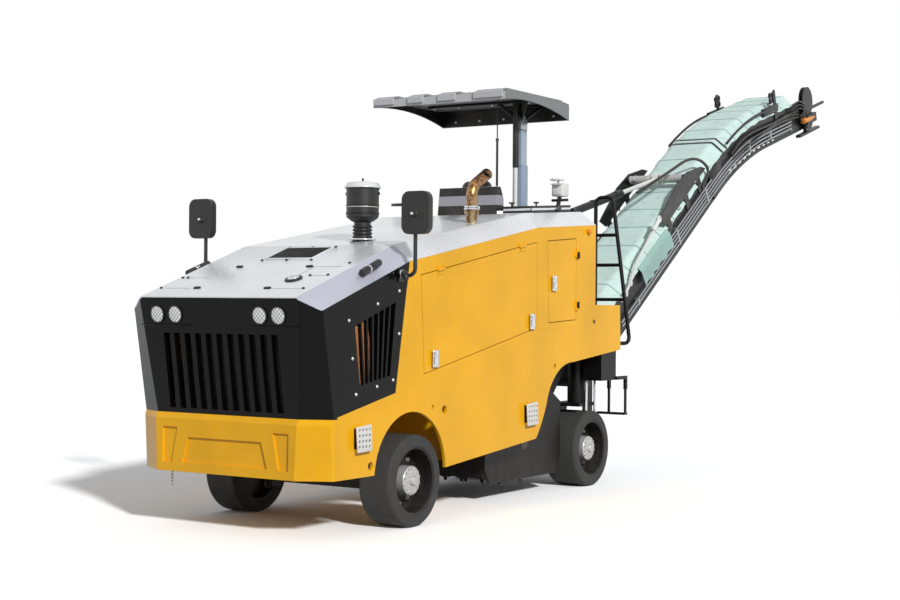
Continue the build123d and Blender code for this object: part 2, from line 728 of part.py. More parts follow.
with BuildPart() as canopy:
    extrude(canopy_side(0), amount=CANOPY_HALF, both=True)
    for low, high in RIBS:
        with BuildSketch(Plane.XZ.offset(-low)):
            with BuildLine():
                Polyline(
                    (CANOPY_REAR + 90, CANOPY_Z - 3),
                    (CANOPY_REAR + 100, CANOPY_Z + RIB_RISE - 8),
                    (CANOPY_FRONT - 60, CANOPY_Z + RIB_RISE - 8),
                    (CANOPY_FRONT + 16, CANOPY_Z + RIB_RISE - 34),
                    (CANOPY_FRONT + 16, CANOPY_Z - FASCIA),
                    (CANOPY_FRONT - 3, CANOPY_Z - FASCIA),
                    (CANOPY_FRONT - 3, CANOPY_Z - 30),
                    (CANOPY_FRONT - 60, CANOPY_Z - 3),
                    close=True,
                )
            make_face()
        extrude(amount=low - high)
    extrude(canopy_side(CANOPY_SHEET), amount=CANOPY_HALF - CANOPY_SHEET, both=True, mode=Mode.SUBTRACT)
    with BuildSketch(Plane.XY.offset(CANOPY_Z - CANOPY_SHEET)):
        with Locations((MAST_X, MAST_Y)):
            Rectangle(96, 70)
    extrude(amount=CANOPY_SHEET - POST_LENGTH)
    # sleeve of the lifting cylinder, and the guide's upper rod
    with BuildSketch(Plane.XY.offset(CANOPY_Z - CANOPY_SHEET)):
        with Locations((SLEEVE_X, MAST_Y)):
            Circle(SLEEVE_RADIUS)
        with Locations(GUIDE):
            Circle(GUIDE_RADIUS)
    extrude(amount=SLEEVE_LOW + CANOPY_SHEET - CANOPY_Z)
    with BuildSketch(Plane.XY.offset(SLEEVE_LOW)):
        with Locations((SLEEVE_X, MAST_Y)):
            Circle(ROD_RADIUS + SEAT_GAP)
    extrude(amount=BORE_DEPTH, mode=Mode.SUBTRACT)
save(canopy.part, "canopy")

# --- mirrors ---------------------------------------------------------------------------------
for side, sign in (("left", 1), ("right", -1)):
    with BuildPart() as mirror:
        with BuildSketch(Plane.YZ.offset(195)):
            with Locations((sign * 987, 2226)):
                RectangleRounded(230, 300, 60)
        extrude(amount=50)
        with BuildSketch(Plane.XY.offset(1960)):
            with Locations((205, sign * 965)):
                Circle(14)
        extrude(amount=130)
        with BuildSketch(Plane.XZ.offset(-sign * (HALF + SEAT_GAP))):
            with Locations((205, 1790)):
                Rectangle(60, 90)
        extrude(amount=-sign * 12)
        with BuildLine() as arm:
            FilletPolyline(
                (205, sign * (HALF + 6), 1790), (205, sign * 965, 1790), (205, sign * 965, 1970), radius=50
            )
        with BuildSketch(Plane(origin=arm.line @ 0, z_dir=arm.line % 0)):
            Circle(14)
        sweep()
    save(mirror.part, f"mirror_{side}")

SPINDLE_RADIUS = 50.0
DISC_DEPTH = 150.0

# --- front axle and steering ------------------------------------------------------------------
with BuildPart() as axle:
    with BuildSketch(Plane.YZ.offset(-60)):
        with Locations((0, WHEEL_RADIUS)):
            Rectangle(2 * (KINGPIN_Y - 70), 160)
        with Locations((0, (WHEEL_RADIUS + DECK_Z - 20 - SEAT_GAP) / 2)):
            Rectangle(260, DECK_Z - 20 - SEAT_GAP - WHEEL_RADIUS)
    extrude(amount=120)
    with BuildSketch(Plane.XY.offset(WHEEL_RADIUS - 125)):
        for sign in (1, -1):
            with Locations((0, sign * KINGPIN_Y)):
                Circle(46)
                Circle(25.5, mode=Mode.SUBTRACT)
            with Locations((0, sign * (KINGPIN_Y - 56))):
                Rectangle(92, 50)
    extrude(amount=250)
    with BuildSketch(Plane.XY.offset(WHEEL_RADIUS - 85)):
        for sign in (1, -1):
            with Locations((0, sign * KINGPIN_Y)):
                Rectangle(140, 106)
    extrude(amount=170, mode=Mode.SUBTRACT)
save(axle.part, "front_axle")

for side, sign in (("left", 1), ("right", -1)):
    with BuildPart() as knuckle:
        with BuildSketch(Plane.XY.offset(WHEEL_RADIUS - 82)):
            with Locations((0, sign * KINGPIN_Y)):
                Circle(44)
        extrude(amount=164)
        with BuildSketch(Plane.XY.offset(WHEEL_RADIUS - 140)):
            with Locations((0, sign * KINGPIN_Y)):
                Circle(25)
        extrude(amount=280)
        with BuildSketch(Plane.XZ.offset(-sign * KINGPIN_Y)):
            with Locations((0, WHEEL_RADIUS)):
                Circle(SPINDLE_RADIUS)
        extrude(amount=-sign * (FRONT_WHEEL_Y + FRONT_TYRE_WIDTH / 2 - DISC_DEPTH + 22 - KINGPIN_Y))
    save(knuckle.part, f"knuckle_{side}")

# --- wheels: side, x, y, tyre width --------------------------------------------------------------
WHEELS = [
    ("front_left", 0.0, FRONT_WHEEL_Y, FRONT_TYRE_WIDTH),
    ("front_right", 0.0, -FRONT_WHEEL_Y, FRONT_TYRE_WIDTH),
    ("rear_left", REAR_AXLE_X, REAR_WHEEL_Y, REAR_TYRE_WIDTH),
    ("rear_right", REAR_AXLE_X, -REAR_WHEEL_Y, REAR_TYRE_WIDTH),
]
for name, x, y, width in WHEELS:
    out = 1 if y > 0 else -1
    axis = Axis((x, 0, WHEEL_RADIUS), (0, 1, 0))
    with BuildPart() as tyre:
        with BuildSketch(Plane.YZ.offset(x)):
            with Locations((y, WHEEL_RADIUS + (RIM_RADIUS + WHEEL_RADIUS) / 2)):
                Rectangle(width, WHEEL_RADIUS - RIM_RADIUS)
                fillet(vertices().group_by(Axis.Y)[-1], 20)
        revolve(axis=axis)
    save(tyre.part, f"tyre_{name}")
    disc = y + out * (width / 2 - DISC_DEPTH)
    bore = SPINDLE_RADIUS + SEAT_GAP
    with BuildPart() as rim:
        with BuildSketch(Plane.YZ.offset(x)):
            with Locations((y, WHEEL_RADIUS + RIM_RADIUS - 8 - SEAT_GAP)):
                Rectangle(width - 10, 16)
            with Locations((disc, WHEEL_RADIUS + (bore + RIM_RADIUS - 10) / 2)):
                Rectangle(20, RIM_RADIUS - 10 - bore)
            with Locations((disc + out * 15, WHEEL_RADIUS + (bore + HUB_RADIUS) / 2)):
                Rectangle(50, HUB_RADIUS - bore)
            with Locations((disc + out * 34, WHEEL_RADIUS + HUB_RADIUS / 2 - 10)):
                Rectangle(20, HUB_RADIUS - 20)
        revolve(axis=axis)
    save(rim.part, f"rim_{name}")

# --- rear legs, each a lifting column with a fork over its wheel ------------------------------
for side, sign in (("left", 1), ("right", -1)):
    with BuildPart() as leg:
        with BuildSketch(Plane.XY.offset(730)):
            with Locations((REAR_AXLE_X, sign * REAR_WHEEL_Y)):
                Circle(85)
        extrude(amount=BOX_TOP - 25 - SEAT_GAP - 730)
        with BuildSketch(Plane.XY.offset(700)):
            with Locations((REAR_AXLE_X, sign * (REAR_WHEEL_Y - 40))):
                Rectangle(300, 290)
        extrude(amount=30)
        with BuildSketch(Plane.XZ.offset(-sign * 340)):
            with BuildLine():
                Polyline(
                    (REAR_AXLE_X - 120, 700),
                    (REAR_AXLE_X + 120, 700),
                    (REAR_AXLE_X + 70, 250),
                    (REAR_AXLE_X - 70, 250),
                    close=True,
                )
            make_face()
        extrude(amount=-sign * 22)
        with BuildSketch(Plane.XZ.offset(-sign * 340)):
            with Locations((REAR_AXLE_X, WHEEL_RADIUS)):
                Circle(80)
        extrude(amount=-sign * 112)
        with BuildSketch(Plane.XZ.offset(-sign * 340)):
            with Locations((REAR_AXLE_X, WHEEL_RADIUS)):
                Circle(SPINDLE_RADIUS)
        extrude(amount=-sign * (REAR_WHEEL_Y + REAR_TYRE_WIDTH / 2 - DISC_DEPTH + 22 - 340))
    save(leg.part, f"rear_leg_{side}")

# --- milling drum and its housing ------------------------------------------------------------------
CHUTE_HALF = 230.0
SIDE_PLATE = 25.0
JOURNAL_RADIUS = 55.0
HOUSING_INNER = DRUM_WIDTH / 2 + 40
HOUSING_FRONT = DRUM_X + 630
HOUSING_REAR = DRUM_X - 610
with BuildPart() as housing:
    for sign in (1, -1):
        with BuildSketch(Plane.XZ.offset(-sign * HOUSING_INNER)):
            with BuildLine():
                Polyline(
                    (HOUSING_FRONT, 500),
                    (HOUSING_FRONT, 270),
                    (HOUSING_FRONT - 80, 150),
                    (HOUSING_REAR + 80, 150),
                    (HOUSING_REAR, 300),
                    (HOUSING_REAR, 760),
                    (HOUSING_REAR + 240, 900),
                    (HOUSING_FRONT - 250, 900),
                    close=True,
                )
            make_face()
        extrude(amount=-sign * SIDE_PLATE)
    with BuildSketch(Plane.XZ):
        with BuildLine():
            Polyline(
                (HOUSING_FRONT, 500),
                (HOUSING_FRONT - 250, 900),
                (HOUSING_REAR + 240, 900),
                (HOUSING_REAR, 760),
                (HOUSING_REAR, 740),
                (HOUSING_REAR + 245, 880),
                (HOUSING_FRONT - 260, 880),
                (HOUSING_FRONT - 20, 496),
                (HOUSING_FRONT - 20, 200),
                (HOUSING_FRONT, 200),
                close=True,
            )
        make_face()
    extrude(amount=HOUSING_INNER, both=True)
    with BuildSketch(Plane.YZ.offset(HOUSING_REAR)):
        with Locations((0, 530)):
            Rectangle(2 * HOUSING_INNER, 460)
        with Locations((0, 490)):
            Rectangle(2 * CHUTE_HALF - 20, 290, mode=Mode.SUBTRACT)
    extrude(amount=20)
    with BuildSketch(Plane.YZ.offset(DRUM_X + 130)):
        for sign in (1, -1):
            with Locations((sign * (HOUSING_INNER + SIDE_PLATE + INNER) / 2, 950)):
                Rectangle(INNER - HOUSING_INNER - SIDE_PLATE, 20)
            with Locations((sign * (HOUSING_INNER + SIDE_PLATE + 10), 880)):
                Rectangle(20, 140)
    extrude(amount=250)
    with BuildSketch(Plane.XZ):
        with Locations((DRUM_X, DRUM_Z)):
            Circle(JOURNAL_RADIUS + SEAT_GAP)
    extrude(amount=HOUSING_INNER + 2 * SIDE_PLATE, both=True, mode=Mode.SUBTRACT)
save(housing.part, "drum_housing")

TOOL_RINGS = 24
TOOLS_IN_RING = 4
HELIX_STEP = 22.5
with BuildPart() as drum:
    with BuildSketch(Plane.XZ.offset(-DRUM_WIDTH / 2)):
        with Locations((DRUM_X, DRUM_Z)):
            Circle(DRUM_CORE_RADIUS)
    extrude(amount=DRUM_WIDTH)
    with BuildSketch(Plane.XZ):
        with Locations((DRUM_X, DRUM_Z)):
            Circle(JOURNAL_RADIUS)
    extrude(amount=HOUSING_INNER + SIDE_PLATE, both=True)
    # tool holders in rings, turned step by step into two opposed helixes
    for ring in range(TOOL_RINGS):
        y = (ring - (TOOL_RINGS - 1) / 2) * (DRUM_WIDTH - 60) / (TOOL_RINGS - 1)
        turn = HELIX_STEP * abs(ring - (TOOL_RINGS - 1) / 2)
        with BuildSketch(Plane.XZ.offset(-y - 15)):
            with Locations((DRUM_X, DRUM_Z)):
                for tool in range(TOOLS_IN_RING):
                    with Locations(Rotation(0, 0, turn + tool * 360 / TOOLS_IN_RING)):
                        with Locations((DRUM_CORE_RADIUS + 20, 0)):
                            Trapezoid(70, 60, 70, rotation=-90)
                        with Locations((TOOL_RADIUS - 22, -14)):
                            Triangle(a=30, b=52, c=52, rotation=-105)
        extrude(amount=30)
save(drum.part, "milling_drum")

# --- chute and conveyor hitch -------------------------------------------------------------------------
CHUTE_WALL = 15.0
CHUTE_FLOOR = ((HOUSING_REAR - SEAT_GAP, 330.0), (SLEW_X + 100, 1100.0))
CHUTE_RISES = (300.0, 120.0)
with BuildPart() as chute:
    foot, head = CHUTE_FLOOR
    with BuildSketch(Plane.XZ):
        with BuildLine():
            Polyline(foot, head, (head[0], head[1] + 15), (foot[0], foot[1] + 15), close=True)
        make_face()
    extrude(amount=CHUTE_HALF, both=True)
    for sign in (1, -1):
        with BuildSketch(Plane.XZ.offset(-sign * CHUTE_HALF)):
            with BuildLine():
                Polyline(
                    foot,
                    head,
                    (head[0], head[1] + CHUTE_RISES[1]),
                    (foot[0], foot[1] + CHUTE_RISES[0]),
                    close=True,
                )
            make_face()
        extrude(amount=-sign * CHUTE_WALL)
save(chute.part, "chute")

HITCH_Z = 1285.0
with BuildPart() as hitch:
    with BuildSketch(Plane.XY.offset(HITCH_Z)):
        with BuildLine():
            Polyline(
                (BOX_REAR, -220),
                (BOX_REAR, 220),
                (SLEW_X + 30, 60),
                (SLEW_X, 60),
                (SLEW_X, -60),
                (SLEW_X + 30, -60),
                close=True,
            )
        make_face()
        with Locations((SLEW_X, 0)):
            Circle(60)
            Circle(30.5, mode=Mode.SUBTRACT)
    extrude(amount=60)
save(hitch.part, "conveyor_hitch")

CHEEK_Y = CONVEYOR_HALF + 35
POST_X = SLEW_X - 130
POST_TOP = 2370.0
HOIST_FOOT = (POST_X - 50, 2420.0)
with BuildPart() as yoke:
    for sign in (1, -1):
        with BuildSketch(Plane.XZ.offset(-sign * CHEEK_Y)):
            with BuildLine():
                Polyline(
                    (SLEW_X + 80, 480),
                    (SLEW_X + 80, HITCH_Z - 15),
                    (SLEW_X - 80, HITCH_Z - 15),
                    (SLEW_X - 80, 480),
                    close=True,
                )
            make_face()
            with Locations((SLEW_X, LIFT_Z)):
                Circle(30.5, mode=Mode.SUBTRACT)
        extrude(amount=-sign * 20)
    with BuildSketch(Plane.XY.offset(HITCH_Z - 45)):
        with Locations((SLEW_X - 55, 0)):
            Rectangle(270, 2 * CHEEK_Y)
    extrude(amount=30)
    with BuildSketch(Plane.XY.offset(480)):
        with Locations((SLEW_X, 0)):
            Rectangle(160, 2 * CHEEK_Y)
    extrude(amount=30)
    with BuildSketch(Plane.XY.offset(HITCH_Z - 15)):
        with Locations((SLEW_X, 0)):
            Circle(30)
    extrude(amount=90)
    with BuildSketch(Plane.XY.offset(HITCH_Z - 15)):
        with Locations((POST_X - 20, 0)):
            Rectangle(80, 100)
    extrude(amount=POST_TOP - HITCH_Z + 15)
    with BuildSketch(Plane.XZ.offset(-62), Plane.XZ.offset(42)):
        with Locations(HOIST_FOOT):
            Circle(50)
            Circle(20.5, mode=Mode.SUBTRACT)
        with Locations((POST_X - 20, POST_TOP - 10)):
            Rectangle(60, 80)
    extrude(amount=20)
save(yoke.part, "slew_yoke")

# --- conveyor, drawn over its underside: straight, bent down, straight ----------------------------------
CONVEYOR_FOOT = (SLEW_X + 128.5, LIFT_Z - 139.2)
LOW_PITCH = 33.0
TOP_PITCH = 15.5
BEND_RADIUS = 5200.0
TAIL_LENGTH = 3790.0
HEAD_LENGTH = 1250.0
KNEE = (
    CONVEYOR_FOOT[0] - TAIL_LENGTH * cos(radians(LOW_PITCH)),
    CONVEYOR_FOOT[1] + TAIL_LENGTH * sin(radians(LOW_PITCH)),
)
BEND_CENTRE = (
    KNEE[0] - BEND_RADIUS * sin(radians(LOW_PITCH)),
    KNEE[1] - BEND_RADIUS * cos(radians(LOW_PITCH)),
)


def at_bend(height, pitch):
    """Point over the underside's arc where the conveyor climbs at this pitch."""
    reach = BEND_RADIUS + height
    return (
        BEND_CENTRE[0] + reach * sin(radians(pitch)),
        BEND_CENTRE[1] + reach * cos(radians(pitch)),
    )


def along(point, pitch, distance):
    """Point moved towards the head along a pitch."""
    return (point[0] - distance * cos(radians(pitch)), point[1] + distance * sin(radians(pitch)))


def band(low, high, tail, head):
    """Closed strip between two heights, from tail to head lengths beyond the bend."""
    with BuildSketch() as strip:
        with BuildLine():
            for height in (low, high):
                first = along(at_bend(height, LOW_PITCH), LOW_PITCH, -tail)
                last = along(at_bend(height, TOP_PITCH), TOP_PITCH, head)
                Line(first, at_bend(height, LOW_PITCH))
                ThreePointArc(
                    at_bend(height, LOW_PITCH),
                    at_bend(height, (LOW_PITCH + TOP_PITCH) / 2),
                    at_bend(height, TOP_PITCH),
                )
                Line(at_bend(height, TOP_PITCH), last)
            for pitch, distance in ((LOW_PITCH, -tail), (TOP_PITCH, head)):
                foot = along(at_bend(low, pitch), pitch, distance)
                Line(foot, along(at_bend(high, pitch), pitch, distance))
        make_face()
    return strip.sketch


def on_slope(height, distance):
    """Point on the lower straight, a distance back from the bend towards the tail."""
    return along(at_bend(height, LOW_PITCH), LOW_PITCH, -distance)


def spot(height, distance):
    """Point at a height over the underside, a distance along it from the tail."""
    bend = radians(LOW_PITCH - TOP_PITCH) * BEND_RADIUS
    turned = min(max(distance - TAIL_LENGTH, 0), bend)
    pitch = LOW_PITCH - degrees(turned / BEND_RADIUS)
    return along(at_bend(height, pitch), pitch, distance - TAIL_LENGTH - turned)


def patch(low, high, start, end, lean=0):
    """Four-sided sheet between two heights and two distances, its top drawn in by a lean at each end."""
    with BuildSketch() as sheet:
        with BuildLine():
            Polyline(
                spot(low, start),
                spot(high, start + lean),
                spot(high, end - lean),
                spot(low, end),
                close=True,
            )
        make_face()
    return sheet.sketch


RAIL = 14.0
TAIL_X = SLEW_X + 60
WINDOWS = (4210, 5690, 148)  # from, to, pitch
WINDOW_HEIGHTS = (35, 105)
WINDOW_LENGTH = 114.0
EAR_HEIGHTS = (240, 590)
EAR_LENGTH = 90.0
EAR_THICK = 14.0
LEAN = 20.0
TAIL_CUT = [(240, -400), (240, 720), (355, 880), (700, 880), (700, -400)]  # height, distance
EARS = ((-1, 5590), (1, 5680))
BELT_LOW = 20.0
BELT_HIGH = 190.0
BELT_THICK = 12.0
BELT_TAIL = TAIL_LENGTH - 222
BELT_HEAD = HEAD_LENGTH + 60
ROLLER = (BELT_HIGH - BELT_LOW) / 2
with BuildPart() as conveyor:
    with BuildSketch(Plane.XZ.offset(-CONVEYOR_HALF), Plane.XZ.offset(CONVEYOR_HALF - RAIL)):
        add(band(0, CONVEYOR_DEPTH, TAIL_LENGTH, HEAD_LENGTH))
        with Locations((TAIL_X + 250, 900)):
            Rectangle(500, 900, mode=Mode.SUBTRACT)
        with BuildLine():
            Polyline(*(spot(height, distance) for height, distance in TAIL_CUT), close=True)
        make_face(mode=Mode.SUBTRACT)
        for start in range(*WINDOWS):
            add(patch(*WINDOW_HEIGHTS, start, start + WINDOW_LENGTH, LEAN), mode=Mode.SUBTRACT)
    extrude(amount=RAIL)
    # guide ears beside the cover's upper end
    for sign, start in EARS:
        with BuildSketch(Plane.XZ.offset(-sign * CONVEYOR_HALF)):
            add(patch(*EAR_HEIGHTS, start, start + EAR_LENGTH, LEAN))
            with Locations(spot(EAR_HEIGHTS[1], start + EAR_LENGTH / 2)):
                Circle(28)
        extrude(amount=-sign * EAR_THICK)
    for share in (0.71, 0.5, 0.29, 0.08):
        with BuildSketch(Plane.XZ):
            with Locations(on_slope((BELT_LOW + BELT_HIGH) / 2, share * TAIL_LENGTH)):
                Circle(24)
        extrude(amount=CONVEYOR_HALF - RAIL, both=True)
    for radius, half in ((ROLLER - BELT_THICK - SEAT_GAP, BELT_WIDTH / 2), (25, CONVEYOR_HALF - RAIL / 2)):
        with BuildSketch(Plane.XZ):
            with Locations(on_slope((BELT_LOW + BELT_HIGH) / 2, BELT_TAIL)):
                Circle(radius)
        extrude(amount=half, both=True)
    # lift pins at the tail
    with BuildSketch(Plane.XZ.offset(-CONVEYOR_HALF), Plane.XZ.offset(CONVEYOR_HALF + 55)):
        with Locations((SLEW_X, LIFT_Z)):
            Circle(30)
    extrude(amount=-55)
save(conveyor.part, "conveyor_frame")

with BuildPart() as belt:
    with BuildSketch(Plane.XZ):
        add(band(BELT_LOW, BELT_HIGH, BELT_TAIL, BELT_HEAD))
        add(band(BELT_LOW + BELT_THICK, BELT_HIGH - BELT_THICK, BELT_TAIL, BELT_HEAD), mode=Mode.SUBTRACT)
        for pitch, distance in ((LOW_PITCH, -BELT_TAIL), (TOP_PITCH, BELT_HEAD)):
            with Locations(along(at_bend((BELT_LOW + BELT_HIGH) / 2, pitch), pitch, distance)):
                Circle(ROLLER)
                Circle(ROLLER - BELT_THICK, mode=Mode.SUBTRACT)
    extrude(amount=BELT_WIDTH / 2, both=True)
save(belt.part, "conveyor_belt")

# --- tarpaulin over the belt ---------------------------------------------------------------
TARP_SHEET = 12.0
TARP_FROM = TAIL_LENGTH - 890
TARP_TO = 900.0


def tarp_section(inset):
    """Half-open trapezoid over the frame, in the plane across the conveyor."""
    with BuildSketch() as section:
        with BuildLine():
            Polyline(
                (-CONVEYOR_HALF + inset, CONVEYOR_DEPTH + SEAT_GAP),
                (-TARP_TOP_HALF + inset / 2, TARP_HEIGHT - inset),
                (TARP_TOP_HALF - inset / 2, TARP_HEIGHT - inset),
                (CONVEYOR_HALF - inset, CONVEYOR_DEPTH + SEAT_GAP),
                close=True,
            )
        make_face()
    return section.sketch


tail = on_slope(0, TARP_FROM)
with BuildPart() as tarp:
    with BuildLine(Plane.XZ) as tarp_path:
        Line(tail, KNEE)
        ThreePointArc(KNEE, at_bend(0, (LOW_PITCH + TOP_PITCH) / 2), at_bend(0, TOP_PITCH))
        Line(at_bend(0, TOP_PITCH), along(at_bend(0, TOP_PITCH), TOP_PITCH, TARP_TO))
    across = Plane(
        origin=(tail[0], 0, tail[1]),
        x_dir=(0, 1, 0),
        z_dir=(cos(radians(LOW_PITCH)), 0, -sin(radians(LOW_PITCH))),
    )
    with BuildSketch(across):
        add(tarp_section(0))
        add(tarp_section(TARP_SHEET), mode=Mode.SUBTRACT)
    sweep(path=tarp_path.wire())
save(tarp.part, "conveyor_cover")

# --- brackets that carry the hoist's cross tube -----------------------------------------------
TUBE_BACK = TAIL_LENGTH - 3175
CROSS_TUBE = on_slope(560, TUBE_BACK)
BRACKET_Y = CONVEYOR_HALF + SEAT_GAP
EYE_PIN = 20.0
EYE_GAP = 40.0
EYE_DRIFT = 24.0
# height, distance
BRACKET_EDGE = [(518, 2384), (616, 2907), (604, 3230), (489, 3549), (414, 3652), (399, 2478)]
BRACKET_FEET = (2520, 3020, 3380)
FOOT_HEIGHTS = (260, 430)
FOOT_LENGTH = 90.0
with BuildPart() as bracket:
    with BuildSketch(Plane.XZ.offset(-BRACKET_Y), Plane.XZ.offset(BRACKET_Y + 12)):
        with BuildLine():
            Polyline(*(spot(height, distance) for height, distance in BRACKET_EDGE), close=True)
        make_face()
        for foot in BRACKET_FEET:
            add(patch(*FOOT_HEIGHTS, foot, foot + FOOT_LENGTH))
    extrude(amount=-12)
    with BuildSketch(Plane.XZ.offset(-BRACKET_Y), Plane.XZ.offset(EYE_GAP)):
        with Locations(CROSS_TUBE):
            Circle(42)
    extrude(amount=BRACKET_Y - EYE_GAP)
    with BuildSketch(Plane.XZ):
        with Locations(CROSS_TUBE):
            Circle(EYE_PIN)
    extrude(amount=EYE_GAP, both=True)
save(bracket.part, "hoist_bracket")

HOIST_RUN = (CROSS_TUBE[0] - HOIST_FOOT[0], CROSS_TUBE[1] - HOIST_FOOT[1])
HOIST_LENGTH = (HOIST_RUN[0] ** 2 + HOIST_RUN[1] ** 2) ** 0.5
HOIST_AXIS = Plane(
    origin=(HOIST_FOOT[0], 0, HOIST_FOOT[1]),
    x_dir=(0, 1, 0),
    z_dir=(HOIST_RUN[0], 0, HOIST_RUN[1]),
)
BARREL = 1250.0
ROD_FROM = 300.0
with BuildPart() as barrel:
    with BuildSketch(Plane.XZ):
        with Locations(HOIST_FOOT):
            Circle(38)
            Circle(20.5, mode=Mode.SUBTRACT)
    extrude(amount=38, both=True)
    with BuildSketch(HOIST_AXIS.offset(30)):
        Circle(38)
    extrude(amount=36)
    with BuildSketch(HOIST_AXIS.offset(66)):
        Circle(38)
        Circle(22 + SEAT_GAP, mode=Mode.SUBTRACT)
    extrude(amount=BARREL - 66)
save(barrel.part, "hoist_barrel")

with BuildPart() as hoist_rod:
    with BuildSketch(HOIST_AXIS.offset(ROD_FROM)):
        Circle(22)
    extrude(amount=HOIST_LENGTH - ROD_FROM - EYE_PIN - EYE_DRIFT - 4)
    with BuildSketch(Plane.XZ):
        with Locations(CROSS_TUBE):
            Circle(EYE_PIN + EYE_DRIFT + 14)
            Circle(EYE_PIN + EYE_DRIFT, mode=Mode.SUBTRACT)
    extrude(amount=EYE_GAP - 8, both=True)
save(hoist_rod.part, "hoist_rod")

with BuildPart() as hoist_pin:
    with BuildSketch(Plane.XZ):
        with Locations(HOIST_FOOT):
            Circle(20)
    extrude(amount=66, both=True)
save(hoist_pin.part, "hoist_pin")

# --- head drum and its motor ----------------------------------------------------------------------
HEAD_CENTRE = along(at_bend((BELT_LOW + BELT_HIGH) / 2, TOP_PITCH), TOP_PITCH, BELT_HEAD)
REEL = (325, 6690)  # height, distance
REEL_RADIUS = 172.0
HEAD_BARS = [  # low, high, start, end, inner y, outer y
    (60, 165, 6540, 6860, 330, 420),
    (-55, -25, 6290, 6980, 345, 405),
    (-40, 70, 6560, 6600, 345, 385),
    (205, 235, 6640, 7298, 344, 372),
    (205, 235, 6640, 7050, -344, -316),
]
with BuildPart() as head:
    with BuildSketch(Plane.XZ.offset(-CONVEYOR_HALF), Plane.XZ.offset(CONVEYOR_HALF - RAIL)):
        with BuildLine():
            Polyline(
                along(at_bend(10, TOP_PITCH), TOP_PITCH, HEAD_LENGTH + SEAT_GAP),
                along(at_bend(CONVEYOR_DEPTH - 10, TOP_PITCH), TOP_PITCH, HEAD_LENGTH + SEAT_GAP),
                along(at_bend(CONVEYOR_DEPTH - 20, TOP_PITCH), TOP_PITCH, HEAD_LENGTH + 190),
                along(at_bend(30, TOP_PITCH), TOP_PITCH, HEAD_LENGTH + 190),
                close=True,
            )
        make_face()
    extrude(amount=RAIL)
    with BuildSketch(Plane.XZ):
        with Locations(HEAD_CENTRE):
            Circle(ROLLER - BELT_THICK - SEAT_GAP)
    extrude(amount=BELT_WIDTH / 2, both=True)
    with BuildSketch(Plane.XZ):
        with Locations(HEAD_CENTRE):
            Circle(30)
    extrude(amount=CONVEYOR_HALF - RAIL, both=True)
    with BuildSketch(Plane.XZ.offset(-CONVEYOR_HALF)):
        with Locations(HEAD_CENTRE):
            Circle(120)
    extrude(amount=-60)
    with BuildSketch(Plane.XZ.offset(CONVEYOR_HALF)):
        with Locations(HEAD_CENTRE):
            Circle(120)
    extrude(amount=60)
    # reel, drive motor and guard beside the drum
    with BuildSketch(Plane.XZ.offset(-CONVEYOR_HALF), Plane.XZ.offset(-CONVEYOR_HALF - 40)):
        with Locations(spot(*REEL)):
            Circle(REEL_RADIUS)
    extrude(amount=-16)
    with BuildSketch(Plane.XZ.offset(-CONVEYOR_HALF + RAIL)):
        with Locations(spot(*REEL)):
            Circle(60)
    extrude(amount=-RAIL - 50)
    for low, high, start, end, inner, outer in HEAD_BARS:
        with BuildSketch(Plane.XZ.offset(-inner)):
            add(patch(low, high, start, end))
        extrude(amount=inner - outer)
save(head.part, "conveyor_head")

# --- hydraulic lines clamped along the conveyor's left side -------------------------------------------
# height, start, end
LINES = [(88, 1100, 6150), (128, 1100, 6150), (168, 2450, 6150), (208, 2450, 5350), (248, 2450, 3700)]
# low, high, place
CLAMPS = [(76, 264, 2630), (76, 264, 3480), (76, 224, 4785), (76, 184, 5430), (76, 140, 1500)]
LINE_Y = CONVEYOR_HALF + 24
LINE_RADIUS = 9.0
CLAMP_LENGTH = 34.0
CLAMP_DEPTH = 36.0
with BuildPart() as lines:
    for height, start, end in LINES:
        with BuildLine(Plane.XZ.offset(-LINE_Y)) as route:
            Line(spot(height, start), spot(height, min(end, TAIL_LENGTH)))
            if end > TAIL_LENGTH:
                ThreePointArc(
                    spot(height, TAIL_LENGTH),
                    at_bend(height, (LOW_PITCH + TOP_PITCH) / 2),
                    at_bend(height, TOP_PITCH),
                )
                Line(at_bend(height, TOP_PITCH), spot(height, end))
        with BuildSketch(Plane(origin=route.line @ 0, z_dir=route.line % 0)):
            Circle(LINE_RADIUS)
        sweep(path=route.wire())
    for low, high, place in CLAMPS:
        with BuildSketch(Plane.XZ.offset(-BRACKET_Y)):
            add(patch(low, high, place, place + CLAMP_LENGTH))
        extrude(amount=-CLAMP_DEPTH)
save(lines.part, "conveyor_lines")

# --- ladder and step at the rear left -----------------------------------------------------------------
RAIL_X = BOX_REAR - 178
TUBE = 17.5
with BuildPart() as ladder:
    with BuildLine() as hoop:
        FilletPolyline(
            (BOX_REAR - SEAT_GAP, 500, 1420),
            (RAIL_X, 500, 1420),
            (RAIL_X, 500, 2560),
            (RAIL_X, 670, 2560),
            (RAIL_X, 850, 1250),
            (BOX_REAR - SEAT_GAP - 20, 790, 1250),
            radius=60,
        )
    with BuildSketch(Plane(origin=hoop.line @ 0, z_dir=hoop.line % 0)):
        Circle(TUBE)
    sweep()
    for z in (2220, 1950, 1640):
        reach = 670 + (2560 - z) * 180 / 1310
        with BuildSketch(Plane.XZ.offset(-500)):
            with Locations((RAIL_X, z)):
                Circle(TUBE - 2)
        extrude(amount=500 - reach)
save(ladder.part, "ladder")

with BuildPart() as locker:
    with BuildSketch(Plane.XY.offset(930)):
        with Locations((BOX_REAR + 162, (INNER + 640) / 2)):
            Rectangle(280, INNER - 640)
    extrude(amount=430)
save(locker.part, "rear_locker")

